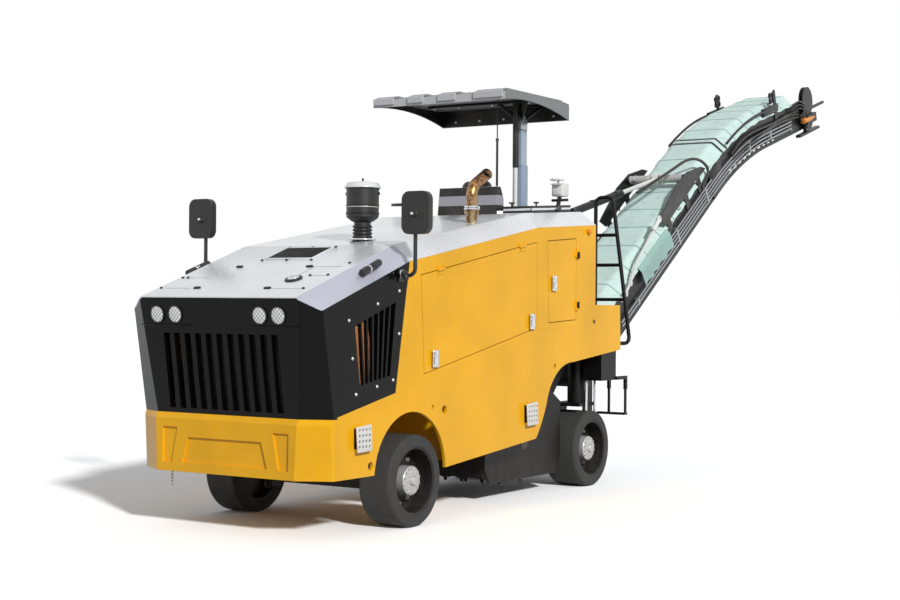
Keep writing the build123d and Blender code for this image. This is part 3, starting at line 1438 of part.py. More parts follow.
LOCKER_REAR = BOX_REAR + 22
STEP_LOW = 610.0
STEP_TOP = 960.0
STEP_SIDES = (655, 818)
STEP_INNER = 545.0
with BuildPart() as step:
    for y in STEP_SIDES:
        with BuildSketch(Plane.XY.offset(STEP_LOW)):
            with Locations((RAIL_X + 16, y)):
                Rectangle(24, 16)
        extrude(amount=STEP_TOP - STEP_LOW)
        with BuildSketch(Plane.XY.offset(STEP_TOP - 120)):
            with Locations((RAIL_X + 16, y)):
                Rectangle(36, 24)
        extrude(amount=120)
        with BuildSketch(Plane.XY.offset(STEP_TOP - 30)):
            with Locations(((RAIL_X + LOCKER_REAR) / 2, y)):
                Rectangle(LOCKER_REAR - RAIL_X - 2 * SEAT_GAP, 24)
        extrude(amount=30)
    with BuildSketch(Plane.XY.offset(STEP_LOW)):
        with Locations((RAIL_X + 16, (STEP_INNER + STEP_SIDES[1] + 8) / 2)):
            Rectangle(60, STEP_SIDES[1] + 8 - STEP_INNER)
    extrude(amount=20)
save(step.part, "access_step")

print("built")
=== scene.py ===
"""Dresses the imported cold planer: a finish on every solid, cloth, padding, fittings, light and camera."""

import logging
import math
from collections.abc import Iterable, Sequence
from dataclasses import dataclass, field
from enum import Enum

import bmesh
import bpy
from mathutils import Matrix, Vector, noise


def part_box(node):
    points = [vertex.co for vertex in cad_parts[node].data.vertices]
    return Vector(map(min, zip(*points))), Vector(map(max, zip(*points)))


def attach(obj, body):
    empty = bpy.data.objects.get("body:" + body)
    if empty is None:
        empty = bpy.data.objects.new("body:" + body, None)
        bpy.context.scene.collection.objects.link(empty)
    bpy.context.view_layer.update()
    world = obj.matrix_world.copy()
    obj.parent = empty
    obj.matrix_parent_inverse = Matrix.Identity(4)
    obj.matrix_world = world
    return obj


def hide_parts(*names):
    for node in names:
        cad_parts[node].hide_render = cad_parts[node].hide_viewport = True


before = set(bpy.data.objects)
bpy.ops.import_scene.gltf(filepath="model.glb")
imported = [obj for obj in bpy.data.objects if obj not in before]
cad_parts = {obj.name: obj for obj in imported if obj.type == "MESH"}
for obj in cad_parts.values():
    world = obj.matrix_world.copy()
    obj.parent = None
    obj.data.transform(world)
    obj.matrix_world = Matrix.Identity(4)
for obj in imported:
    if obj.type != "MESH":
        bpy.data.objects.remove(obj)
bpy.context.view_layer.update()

LOG = logging.getLogger("planer")
Point = tuple[float, float, float]


def srgb(red: float, green: float, blue: float) -> Point:
    """Turn a colour as seen on a screen into the linear one that shaders take.

    Args:
        red: Red from 0 to 1.
        green: Green from 0 to 1.
        blue: Blue from 0 to 1.

    Returns:
        The linear colour.
    """
    return tuple(((c + 0.055) / 1.055) ** 2.4 if c > 0.04045 else c / 12.92 for c in (red, green, blue))


class Body(Enum):
    """The moving bodies that pieces ride on."""

    MACHINE = "machine"
    KNUCKLE_LEFT = "knuckle_left"
    KNUCKLE_RIGHT = "knuckle_right"
    WHEEL_FRONT_LEFT = "wheel_front_left"
    WHEEL_FRONT_RIGHT = "wheel_front_right"
    WHEEL_REAR_LEFT = "wheel_rear_left"
    WHEEL_REAR_RIGHT = "wheel_rear_right"
    DRUM = "drum"
    SLEW = "slew"
    CONVEYOR = "conveyor"
    HOIST_BARREL = "hoist_barrel"
    HOIST_ROD = "hoist_rod"
    ENGINE_DOOR_LEFT = "engine_door_left"
    ENGINE_DOOR_RIGHT = "engine_door_right"
    TANK_DOOR_LEFT = "tank_door_left"
    TANK_DOOR_RIGHT = "tank_door_right"
    CANOPY = "canopy"
    STEERING_WHEEL = "steering_wheel"


# ---------------------------------------------------------------- finishes


class NodeBench:
    """Lays out and links the nodes of one material."""

    def __init__(self, name: str) -> None:
        """Start a material with a principled shader."""
        self.material = bpy.data.materials.new(name)
        self.material.use_nodes = True
        self.tree = self.material.node_tree
        self.shader = self.tree.nodes["Principled BSDF"]
        self.coords = self.tree.nodes.new("ShaderNodeTexCoord").outputs["Object"]

    def node(self, kind: str, **values: object) -> bpy.types.Node:
        """Add a node and set its properties.

        Args:
            kind: Node type without its ShaderNode prefix.
            **values: Properties of the node.

        Returns:
            The new node.
        """
        made = self.tree.nodes.new("ShaderNode" + kind)
        for key, value in values.items():
            setattr(made, key, value)
        return made

    def feed(self, socket: bpy.types.NodeSocket, value: object) -> None:
        """Link an output to a socket, or set the socket's own value."""
        if isinstance(value, bpy.types.NodeSocket):
            self.tree.links.new(value, socket)
        else:
            socket.default_value = value

    def stretched(
        self, scale: Point, turn: Point = (0.0, 0.0, 0.0), move: Point = (0.0, 0.0, 0.0)
    ) -> bpy.types.NodeSocket:
        """Return object coordinates that are moved, turned and scaled."""
        mapping = self.node("Mapping")
        self.feed(mapping.inputs["Vector"], self.coords)
        mapping.inputs["Location"].default_value = move
        mapping.inputs["Rotation"].default_value = turn
        mapping.inputs["Scale"].default_value = scale
        return mapping.outputs["Vector"]

    def noise(
        self, scale: float, detail: float = 3.0, vector: bpy.types.NodeSocket | None = None
    ) -> bpy.types.NodeSocket:
        """Return a noise value over the piece."""
        made = self.node("TexNoise")
        self.feed(made.inputs["Vector"], vector or self.coords)
        made.inputs["Scale"].default_value = scale
        made.inputs["Detail"].default_value = detail
        return made.outputs["Fac"]

    def cells(
        self, scale: float, feature: str = "F1", vector: bpy.types.NodeSocket | None = None
    ) -> bpy.types.NodeSocket:
        """Return the distance value of a cell pattern."""
        made = self.node("TexVoronoi", feature=feature)
        self.feed(made.inputs["Vector"], vector or self.coords)
        made.inputs["Scale"].default_value = scale
        return made.outputs["Distance"]

    def fit(
        self, value: object, low: float, high: float, out_low: float = 0.0, out_high: float = 1.0
    ) -> bpy.types.NodeSocket:
        """Map a value's range onto another and clamp it."""
        made = self.node("MapRange")
        self.feed(made.inputs["Value"], value)
        for key, number in zip(("From Min", "From Max", "To Min", "To Max"), (low, high, out_low, out_high)):
            made.inputs[key].default_value = number
        return made.outputs["Result"]

    def maths(self, operation: str, first: object, second: object = 0.0) -> bpy.types.NodeSocket:
        """Return the result of a maths node."""
        made = self.node("Math", operation=operation)
        self.feed(made.inputs[0], first)
        self.feed(made.inputs[1], second)
        return made.outputs[0]

    def mix(self, share: object, first: object, second: object) -> bpy.types.NodeSocket:
        """Return a blend of two colours."""
        made = self.node("Mix", data_type="RGBA")
        self.feed(made.inputs["Factor"], share)
        for socket, value in zip((made.inputs[6], made.inputs[7]), (first, second)):
            self.feed(socket, (*value, 1.0) if isinstance(value, tuple) else value)
        return made.outputs[2]

    def axis(self, name: str) -> bpy.types.NodeSocket:
        """Return one of the object coordinates."""
        made = self.node("SeparateXYZ")
        self.feed(made.inputs[0], self.coords)
        return made.outputs[name]

    def bump(
        self, height: object, strength: float, distance: float, base: object = None
    ) -> bpy.types.NodeSocket:
        """Return a normal bumped by a height, on top of another normal."""
        made = self.node("Bump")
        made.inputs["Strength"].default_value = strength
        made.inputs["Distance"].default_value = distance
        self.feed(made.inputs["Height"], height)
        if base is not None:
            self.feed(made.inputs["Normal"], base)
        return made.outputs["Normal"]

    def soft_edges(self, radius: float) -> bpy.types.NodeSocket:
        """Return a normal that rounds the edges."""
        made = self.node("Bevel", samples=4)
        made.inputs["Radius"].default_value = radius
        return made.outputs["Normal"]

    def close(
        self, colour: object, roughness: object, normal: object, metallic: float = 0.0, **sockets: float
    ) -> bpy.types.Material:
        """Feed the shader and return the finished material."""
        self.feed(self.shader.inputs["Base Color"], (*colour, 1.0) if isinstance(colour, tuple) else colour)
        self.feed(self.shader.inputs["Roughness"], roughness)
        self.feed(self.shader.inputs["Normal"], normal)
        self.shader.inputs["Metallic"].default_value = metallic
        for key, value in sockets.items():
            self.shader.inputs[key.replace("_", " ")].default_value = value
        return self.material


DUST = srgb(0.60, 0.57, 0.51)


@dataclass(frozen=True)
class Paint:
    """Sprayed coat on sheet or plate, with dust low down and faint wear."""

    name: str
    colour: Point
    roughness: float = 0.32
    metallic: float = 0.0
    peel: float = 0.06
    dust: float = 0.25
    dust_top: float = 1.1
    edge: float = 0.004
    coat: float = 0.25
    wear: float = 0.04
    specular: float = 0.5

    def build(self) -> bpy.types.Material:
        """Return the coat's material."""
        bench = NodeBench(self.name)
        broad = bench.noise(2.2, 5.0)
        fine = bench.noise(55.0, 3.0)
        shade = tuple(c * 0.86 for c in self.colour)
        colour = bench.mix(bench.fit(broad, 0.35, 0.7), self.colour, shade)
        streaks = bench.noise(6.0, 6.0, bench.stretched((3.0, 3.0, 0.35)))
        low_down = bench.fit(bench.axis("Z"), 0.1, self.dust_top, self.dust, 0.0)
        grime = bench.maths("MULTIPLY", low_down, bench.fit(streaks, 0.3, 0.7, 0.25, 1.0))
        colour = bench.mix(grime, colour, DUST)
        specks = bench.fit(bench.noise(90.0, 2.0), 0.68, 0.74, 0.0, self.wear * 4)
        colour = bench.mix(specks, colour, tuple(min(1.0, c * 1.3 + 0.03) for c in self.colour))
        gloss = bench.maths(
            "ADD", bench.fit(fine, 0.3, 0.7, self.roughness - 0.05, self.roughness + 0.07),
            bench.maths("MULTIPLY", grime, 0.5)
        )
        normal = bench.bump(bench.noise(140.0, 2.0), self.peel, 0.002, bench.soft_edges(self.edge))
        return bench.close(
            colour, gloss, normal, self.metallic, Coat_Weight=self.coat, Coat_Roughness=0.15,
            Specular_IOR_Level=self.specular
        )


@dataclass(frozen=True)
class Moulded:
    """Grained plastic or dull rubber moulding."""

    name: str
    colour: Point
    roughness: float = 0.6
    grain: float = 260.0
    depth: float = 0.12
    dust: float = 0.1

    def build(self) -> bpy.types.Material:
        """Return the moulding's material."""
        bench = NodeBench(self.name)
        broad = bench.noise(5.0, 4.0)
        colour = bench.mix(bench.fit(broad, 0.4, 0.75, 0.0, self.dust), self.colour, DUST)
        gloss = bench.fit(bench.noise(18.0, 4.0), 0.3, 0.7, self.roughness - 0.1, self.roughness + 0.12)
        normal = bench.bump(bench.cells(self.grain), self.depth, 0.002, bench.soft_edges(0.003))
        return bench.close(colour, gloss, normal)


@dataclass(frozen=True)
class TyreRubber:
    """Solid tyre rubber, scuffed grey by the road, with a few moulded rings on its side."""

    name: str
    axle: Point
    colour: Point = srgb(0.12, 0.12, 0.125)

    def build(self) -> bpy.types.Material:
        """Return the tyre's material."""
        bench = NodeBench(self.name)
        centred = bench.stretched((1.0, 0.0, 1.0), move=(-self.axle[0], 0.0, -self.axle[2]))
        length = bench.node("VectorMath", operation="LENGTH")
        bench.feed(length.inputs[0], centred)
        radius = length.outputs["Value"]
        scuffed = bench.fit(bench.noise(9.0, 7.0), 0.35, 0.75, 0.1, 0.55)
        tread = bench.fit(radius, 0.325, 0.3295, 0.0, 0.5)
        colour = bench.mix(bench.maths("MAXIMUM", scuffed, tread), self.colour, srgb(0.30, 0.30, 0.29))
        rings = bench.maths("SINE", bench.maths("MULTIPLY", radius, 520.0))
        rings = bench.maths("MULTIPLY", rings, bench.fit(radius, 0.262, 0.268, 0.0, 0.4))
        height = bench.maths("ADD", rings, bench.noise(130.0, 4.0))
        normal = bench.bump(height, 0.35, 0.003, bench.soft_edges(0.006))
        return bench.close(colour, bench.fit(scuffed, 0.1, 0.6, 0.72, 0.9), normal)


@dataclass(frozen=True)
class Cast:
    """Rough bare casting or worn steel."""

    name: str
    colour: Point
    shine: float = 0.55
    roughness: float = 0.55
    depth: float = 0.4

    def build(self) -> bpy.types.Material:
        """Return the casting's material."""
        bench = NodeBench(self.name)
        patch = bench.noise(11.0, 6.0)
        rust = bench.fit(patch, 0.5, 0.75, 0.0, 0.5)
        colour = bench.mix(rust, self.colour, srgb(0.36, 0.24, 0.16))
        normal = bench.bump(bench.noise(70.0, 6.0), self.depth, 0.003, bench.soft_edges(0.003))
        return bench.close(
            colour, bench.fit(patch, 0.3, 0.7, self.roughness - 0.1, self.roughness + 0.2), normal,
            self.shine
        )


@dataclass(frozen=True)
class Plated:
    """Ground, chromed or zinc plated metal."""

    name: str
    colour: Point
    roughness: float = 0.2
    scratch: float = 0.1

    def build(self) -> bpy.types.Material:
        """Return the plating's material."""
        bench = NodeBench(self.name)
        lines = bench.noise(30.0, 4.0, bench.stretched((1.0, 1.0, 14.0)))
        gloss = bench.fit(lines, 0.3, 0.7, max(0.04, self.roughness - 0.06), self.roughness + 0.12)
        tint = bench.mix(
            bench.fit(bench.noise(7.0, 4.0), 0.3, 0.8, 0.0, 0.3), self.colour,
            tuple(c * 0.7 for c in self.colour)
        )
        normal = bench.bump(lines, self.scratch, 0.001, bench.soft_edges(0.0015))
        return bench.close(tint, gloss, normal, 1.0)


@dataclass(frozen=True)
class HeatedPipe:
    """Exhaust tube, straw and brown with heat towards its tip."""

    name: str
    low: float
    high: float

    def build(self) -> bpy.types.Material:
        """Return the pipe's material."""
        bench = NodeBench(self.name)
        heat = bench.maths(
            "ADD", bench.fit(bench.axis("Z"), self.low, self.high),
            bench.fit(bench.noise(14.0, 5.0), 0.3, 0.7, -0.25, 0.25)
        )
        stain = bench.fit(bench.noise(26.0, 7.0), 0.45, 0.62)
        straw = bench.mix(bench.fit(heat, 0.0, 0.6), srgb(0.70, 0.62, 0.48), srgb(0.66, 0.50, 0.33))
        straw = bench.mix(stain, straw, srgb(0.42, 0.30, 0.21))
        colour = bench.mix(bench.fit(heat, 0.7, 1.2), straw, srgb(0.30, 0.21, 0.16))
        normal = bench.bump(bench.noise(90.0, 4.0), 0.08, 0.002, bench.soft_edges(0.002))
        return bench.close(colour, bench.fit(heat, 0.0, 1.0, 0.16, 0.4), normal, 0.95)


@dataclass(frozen=True)
class Canvas:
    """Coated tarpaulin cloth with a fine weave and weathered folds."""

    name: str
    colour: Point
    thread: float = 900.0

    def build(self) -> bpy.types.Material:
        """Return the cloth's material."""
        bench = NodeBench(self.name)
        soiled = bench.fit(bench.noise(3.0, 6.0), 0.35, 0.75, 0.0, 0.45)
        streaks = bench.fit(
            bench.noise(9.0, 6.0, bench.stretched((0.6, 1.0, 3.0), turn=(0.0, 0.5, 0.0))), 0.5, 0.8, 0.0,
            0.3
        )
        colour = bench.mix(soiled, self.colour, tuple(c * 0.72 for c in self.colour))
        colour = bench.mix(streaks, colour, srgb(0.50, 0.50, 0.42))
        warp = bench.maths("SINE", bench.maths("MULTIPLY", bench.axis("X"), self.thread))
        weft = bench.maths("SINE", bench.maths("MULTIPLY", bench.axis("Y"), self.thread))
        weave = bench.maths("MULTIPLY", warp, weft)
        height = bench.maths("ADD", bench.maths("MULTIPLY", weave, 0.12), bench.noise(6.0, 6.0))
        normal = bench.bump(height, 0.3, 0.01)
        return bench.close(colour, 0.62, normal, Sheen_Weight=0.15, Sheen_Roughness=0.5)


@dataclass(frozen=True)
class Hide:
    """Grained seat cover, dark and a little worn on its crowns."""

    name: str
    colour: Point

    def build(self) -> bpy.types.Material:
        """Return the cover's material."""
        bench = NodeBench(self.name)
        grain = bench.cells(240.0, "DISTANCE_TO_EDGE")
        worn = bench.fit(bench.noise(4.0, 5.0), 0.45, 0.8, 0.0, 0.25)
        colour = bench.mix(worn, self.colour, srgb(0.32, 0.31, 0.30))
        height = bench.maths(
            "ADD", bench.fit(grain, 0.0, 0.12), bench.maths("MULTIPLY", bench.noise(12.0, 5.0), 0.8)
        )
        normal = bench.bump(height, 0.35, 0.0015)
        return bench.close(colour, bench.fit(grain, 0.0, 0.15, 0.62, 0.42), normal, Sheen_Weight=0.1)


@dataclass(frozen=True)
class Clear:
    """Glass of a lamp or the silvered face of a mirror."""

    name: str
    colour: Point
    silver: bool = False

    def build(self) -> bpy.types.Material:
        """Return the glass's material."""
        bench = NodeBench(self.name)
        ripple = bench.noise(8.0, 2.0)
        normal = bench.bump(ripple, 0.03, 0.002)
        gloss = bench.fit(bench.noise(25.0, 4.0), 0.3, 0.8, 0.02, 0.09)
        if self.silver:
            return bench.close(self.colour, gloss, normal, 1.0)
        return bench.close(self.colour, gloss, normal, 0.0, Transmission_Weight=0.85, IOR=1.5)


@dataclass(frozen=True)
class Zoned:
    """Paint whose colour changes inside given boxes of the machine."""

    name: str
    colour: Point
    zones: tuple[tuple[Point, Point, Point], ...]
    roughness: float = 0.34
    metallic: float = 0.0
    peel: float = 0.04

    def build(self) -> bpy.types.Material:
        """Return the paint's material."""
        bench = NodeBench(self.name)
        colour: object = self.colour
        for low, high, tint in self.zones:
            inside: object = 1.0
            for name, start, end, shift in zip("XYZ", low, high, (AXLE_X, 0.0, 0.0)):
                made = bench.node("Math", operation="COMPARE")
                bench.feed(made.inputs[0], bench.axis(name))
                made.inputs[1].default_value = (start + end) / 2 + shift
                made.inputs[2].default_value = (end - start) / 2
                inside = bench.maths("MULTIPLY", made.outputs[0], inside)
            colour = bench.mix(inside, colour, tint)
        soil = bench.fit(bench.noise(4.0, 5.0), 0.4, 0.75, 0.0, 0.12)
        colour = bench.mix(soil, colour, DUST)
        gloss = bench.fit(bench.noise(30.0, 4.0), 0.3, 0.7, self.roughness - 0.05, self.roughness + 0.08)
        normal = bench.bump(bench.noise(160.0, 2.0), self.peel, 0.002, bench.soft_edges(0.003))
        return bench.close(colour, gloss, normal, self.metallic, Specular_IOR_Level=0.4)


@dataclass(frozen=True)
class LampFace:
    """Lamp glass over a bright reflector of small square facets."""

    name: str
    colour: Point

    def build(self) -> bpy.types.Material:
        """Return the lamp face's material."""
        bench = NodeBench(self.name)
        across = bench.maths("SINE", bench.maths("MULTIPLY", bench.axis("Y"), 210.0))
        upward = bench.maths("SINE", bench.maths("MULTIPLY", bench.axis("Z"), 210.0))
        facets = bench.maths("MULTIPLY", across, upward)
        colour = bench.mix(bench.fit(facets, -0.15, 0.1), srgb(0.60, 0.61, 0.62), self.colour)
        normal = bench.bump(facets, 0.35, 0.002)
        return bench.close(
            colour, bench.fit(facets, -0.5, 0.5, 0.22, 0.08), normal, 0.15, Coat_Weight=0.8,
            Coat_Roughness=0.03
        )


@dataclass(frozen=True)
class Finned:
    """Cooler core: rows of fine fins between tubes."""

    name: str
    colour: Point

    def build(self) -> bpy.types.Material:
        """Return the core's material."""
        bench = NodeBench(self.name)
        tubes = bench.maths("SINE", bench.maths("MULTIPLY", bench.axis("Z"), 420.0))
        fins = bench.maths("SINE", bench.maths("MULTIPLY", bench.axis("X"), 1500.0))
        soil = bench.fit(bench.noise(6.0, 6.0), 0.35, 0.7)
        colour = bench.mix(bench.fit(tubes, -0.4, 0.6), tuple(c * 0.6 for c in self.colour), self.colour)
        colour = bench.mix(bench.maths("MULTIPLY", soil, 0.45), colour, srgb(0.25, 0.2, 0.17))
        height = bench.maths("ADD", tubes, bench.maths("MULTIPLY", fins, 0.4))
        return bench.close(colour, 0.5, bench.bump(height, 0.6, 0.004), 0.1)


WHEEL_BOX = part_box("tyre_front_left")
AXLE_X = (WHEEL_BOX[0].x + WHEEL_BOX[1].x) / 2
AXLE_Z = (WHEEL_BOX[0].z + WHEEL_BOX[1].z) / 2
REAR_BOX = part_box("tyre_rear_left")
REAR_AXLE_X = (REAR_BOX[0].x + REAR_BOX[1].x) / 2

YELLOW = Paint("yellow_gloss", srgb(0.95, 0.70, 0.03), 0.3, dust=0.06, coat=0.1, specular=0.22)
SILVER = Paint("silver_grey", srgb(0.88, 0.885, 0.90), 0.3, metallic=0.3, dust=0.0, peel=0.0, wear=0.0)
WHITE = Paint("white_satin", srgb(0.86, 0.86, 0.85), 0.4, dust=0.1)
PALE_LINE = Paint("pale_line", srgb(0.62, 0.63, 0.64), 0.3, metallic=0.5, dust=0.0)
BLACK = Paint("black_gloss", srgb(0.03, 0.03, 0.032), 0.22, dust=0.01, coat=0.0, specular=0.14)
BLACK_SATIN = Paint("black_satin", srgb(0.05, 0.05, 0.053), 0.4, dust=0.06, coat=0.0, specular=0.2)
CONVEYOR_BLACK = Paint("conveyor_black", srgb(0.06, 0.06, 0.065), 0.36, dust=0.0, coat=0.0, specular=0.3)
RIM_BLACK = Paint(
    "rim_black", srgb(0.075, 0.075, 0.08), 0.42, dust=0.12, dust_top=0.7, coat=0.0, specular=0.3
)
INK = srgb(0.05, 0.05, 0.055)
CANOPY_COAT = Zoned(
    "canopy_coat",
    srgb(0.47, 0.475, 0.485),
    (
        ((-2.601, -0.636, 2.0), (-1.539, 0.636, 3.3095), INK),
        ((-1.534, -0.645, 3.1), (-1.50, 0.645, 3.35), srgb(0.72, 0.72, 0.74)),
        ((-2.394, 0.284, 2.0), (-2.2895, 0.356, 3.2), srgb(0.62, 0.68, 0.74)),
    ),
)
MAST_COAT = Zoned(
    "mast_coat", srgb(0.55, 0.62, 0.70),
    (((-2.289, 0.27, 2.3), (-2.2, 0.37, 3.0), srgb(0.88, 0.88, 0.86)),), 0.25
)
CONSOLE_COAT = Zoned(
    "console_coat", INK,
    (
        ((-2.2, -0.3, 2.425), (-1.9, 0.3, 2.508), srgb(0.60, 0.60, 0.63)),
        ((-2.2, -0.3, 2.5785), (-1.9, 0.3, 2.585), srgb(0.75, 0.75, 0.75))
    ),
)
BRACKET_COAT = Zoned(
    "bracket_coat",
    srgb(0.08, 0.08, 0.085),
    (((-5.775, -0.30, 2.864), (-5.684, 0.30, 2.956), srgb(0.72, 0.72, 0.72)),),
)
HOOD_REAR = Zoned(
    "hood_rear_coat",
    srgb(0.88, 0.885, 0.90),
    (((-2.6155, 0.3945, 2.345), (-1.9345, 0.6655, 2.6), INK),),
    0.3,
    0.3,
)
# Near-black sheet set behind the front grille's slots to paint the shade inside them: painted shade.
SLOT_SHADE_SHEET = Moulded("slot_shade_sheet", srgb(0.05, 0.045, 0.045), 0.7, 400.0, 0.4, 0.0)
# Silver hood coat whose two side strips are tinted darker and bluer than the top: painted shade.
HOOD_FRONT_SHADED_STRIPS = Zoned(
    "hood_front_strip_shade_coat", srgb(0.88, 0.885, 0.90),
    (
        ((0.0, 0.6905, 1.4), (1.2, 0.85, 2.1), srgb(0.72, 0.73, 0.78)),
        ((0.0, -0.85, 1.4), (1.2, -0.6905, 2.1), srgb(0.72, 0.73, 0.78))
    ),
    0.3, 0.3, 0.0,
)
HUB_STEEL = Paint("hub_steel", srgb(0.76, 0.76, 0.75), 0.35, metallic=0.3, dust=0.2)
CASE_BLACK = Moulded("case_black", srgb(0.05, 0.05, 0.053), 0.42, dust=0.03)
HOSE_BLACK = Moulded("hose_black", srgb(0.06, 0.06, 0.06), 0.4, 320.0, 0.06)
BELT_RUBBER = Moulded("belt_rubber", srgb(0.15, 0.15, 0.15), 0.75, 120.0, 0.25, 0.3)
VENT_MESH = Moulded("vent_mesh", srgb(0.24, 0.24, 0.25), 0.6, 330.0, 0.4)
ZINC = Plated("zinc_plated", srgb(0.72, 0.72, 0.70), 0.32)
CHROME = Plated("chrome_rod", srgb(0.86, 0.87, 0.88), 0.1, 0.03)
DRUM_STEEL = Cast("drum_steel", srgb(0.30, 0.28, 0.26))
ENGINE_CAST = Cast("engine_cast", srgb(0.28, 0.29, 0.30), 0.2, 0.6)
CORE_COPPER = Finned("core_copper", srgb(0.86, 0.56, 0.27))
TARP_GREEN = Canvas("tarp_green", srgb(0.80, 0.90, 0.87))
# Darker copy of the tarp colour for the strips over the hoops: painted shade.
TARP_HOOP_SHADE = Canvas("tarp_hoop_shade", srgb(0.58, 0.72, 0.68))
# Darker copy of the tarp colour for the hanging skirts: painted shade.
TARP_SKIRT_SHADE = Canvas("tarp_skirt", srgb(0.60, 0.74, 0.70))
LAMP_FACE = LampFace("lamp_face", srgb(0.93, 0.93, 0.92))
SEAT_HIDE = Hide("seat_hide", srgb(0.13, 0.13, 0.135))
LENS = Clear("lamp_lens", (0.95, 0.97, 1.0))
MIRROR = Clear("mirror_glass", (0.9, 0.92, 0.94), True)
MOTOR_ORANGE = Paint("motor_orange", srgb(0.93, 0.55, 0.12), 0.4, dust=0.0)
EXHAUST = HeatedPipe("exhaust_heat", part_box("exhaust")[0].z + 0.1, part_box("exhaust")[1].z)
TYRE_FRONT = TyreRubber("tyre_front", (AXLE_X, 0.0, AXLE_Z))
TYRE_REAR = TyreRubber("tyre_rear", (REAR_AXLE_X, 0.0, AXLE_Z))

FinishKind = (
    Paint | Moulded | TyreRubber | Cast | Plated | HeatedPipe | Canvas | Hide | Clear | Finned
    | LampFace | Zoned
)
_BUILT: dict[str, bpy.types.Material] = {}


def coat(finish: FinishKind) -> bpy.types.Material:
    """Return a finish's material, built once.

    Args:
        finish: The finish to build.

    Returns:
        The shared material.
    """
    if finish.name not in _BUILT:
        _BUILT[finish.name] = finish.build()
    return _BUILT[finish.name]


NODE_FINISHES: dict[FinishKind, tuple[str, ...]] = {
    YELLOW: (
        "lower_frame bumper body_left body_right engine_door_left engine_door_right "
        "tank_door_left tank_door_right"
    ).split(),
    SILVER: ("hood_front", "hood_middle"),
    HOOD_REAR: ("hood_rear",),
    CONSOLE_COAT: ("console",),
    BRACKET_COAT: ("hoist_bracket",),
    MAST_COAT: ("mast",),
    CANOPY_COAT: ("canopy",),
    BLACK: ("front_panel", "operator_bay", "side_grille_left", "side_grille_right"),
    BLACK_SATIN: (
        "seat_pedestal hoist_barrel front_axle knuckle_left knuckle_right rear_leg_left rear_leg_right "
        "rear_locker ladder access_step conveyor_hitch drum_housing chute slew_yoke"
    ).split(),
    CONVEYOR_BLACK: ("conveyor_frame", "conveyor_head"),
    PALE_LINE: ("conveyor_lines",),
    RIM_BLACK: ("rim_front_left", "rim_front_right", "rim_rear_left", "rim_rear_right"),
    TYRE_FRONT: ("tyre_front_left", "tyre_front_right"),
    TYRE_REAR: ("tyre_rear_left", "tyre_rear_right"),
    CASE_BLACK: ("mirror_left", "mirror_right", "steering_wheel", "steering_column", "air_cleaner"),
    BELT_RUBBER: ("conveyor_belt",),
    CHROME: ("hoist_pin",),
    WHITE: ("hoist_rod",),
    EXHAUST: ("exhaust",),
    CORE_COPPER: ("cooler",),
    DRUM_STEEL: ("milling_drum",),
    ENGINE_CAST: ("engine",),
    LENS: ("headlamps",),
    TARP_GREEN: ("conveyor_cover",),
    SEAT_HIDE: ("seat",),
}


# ---------------------------------------------------------------- workshop


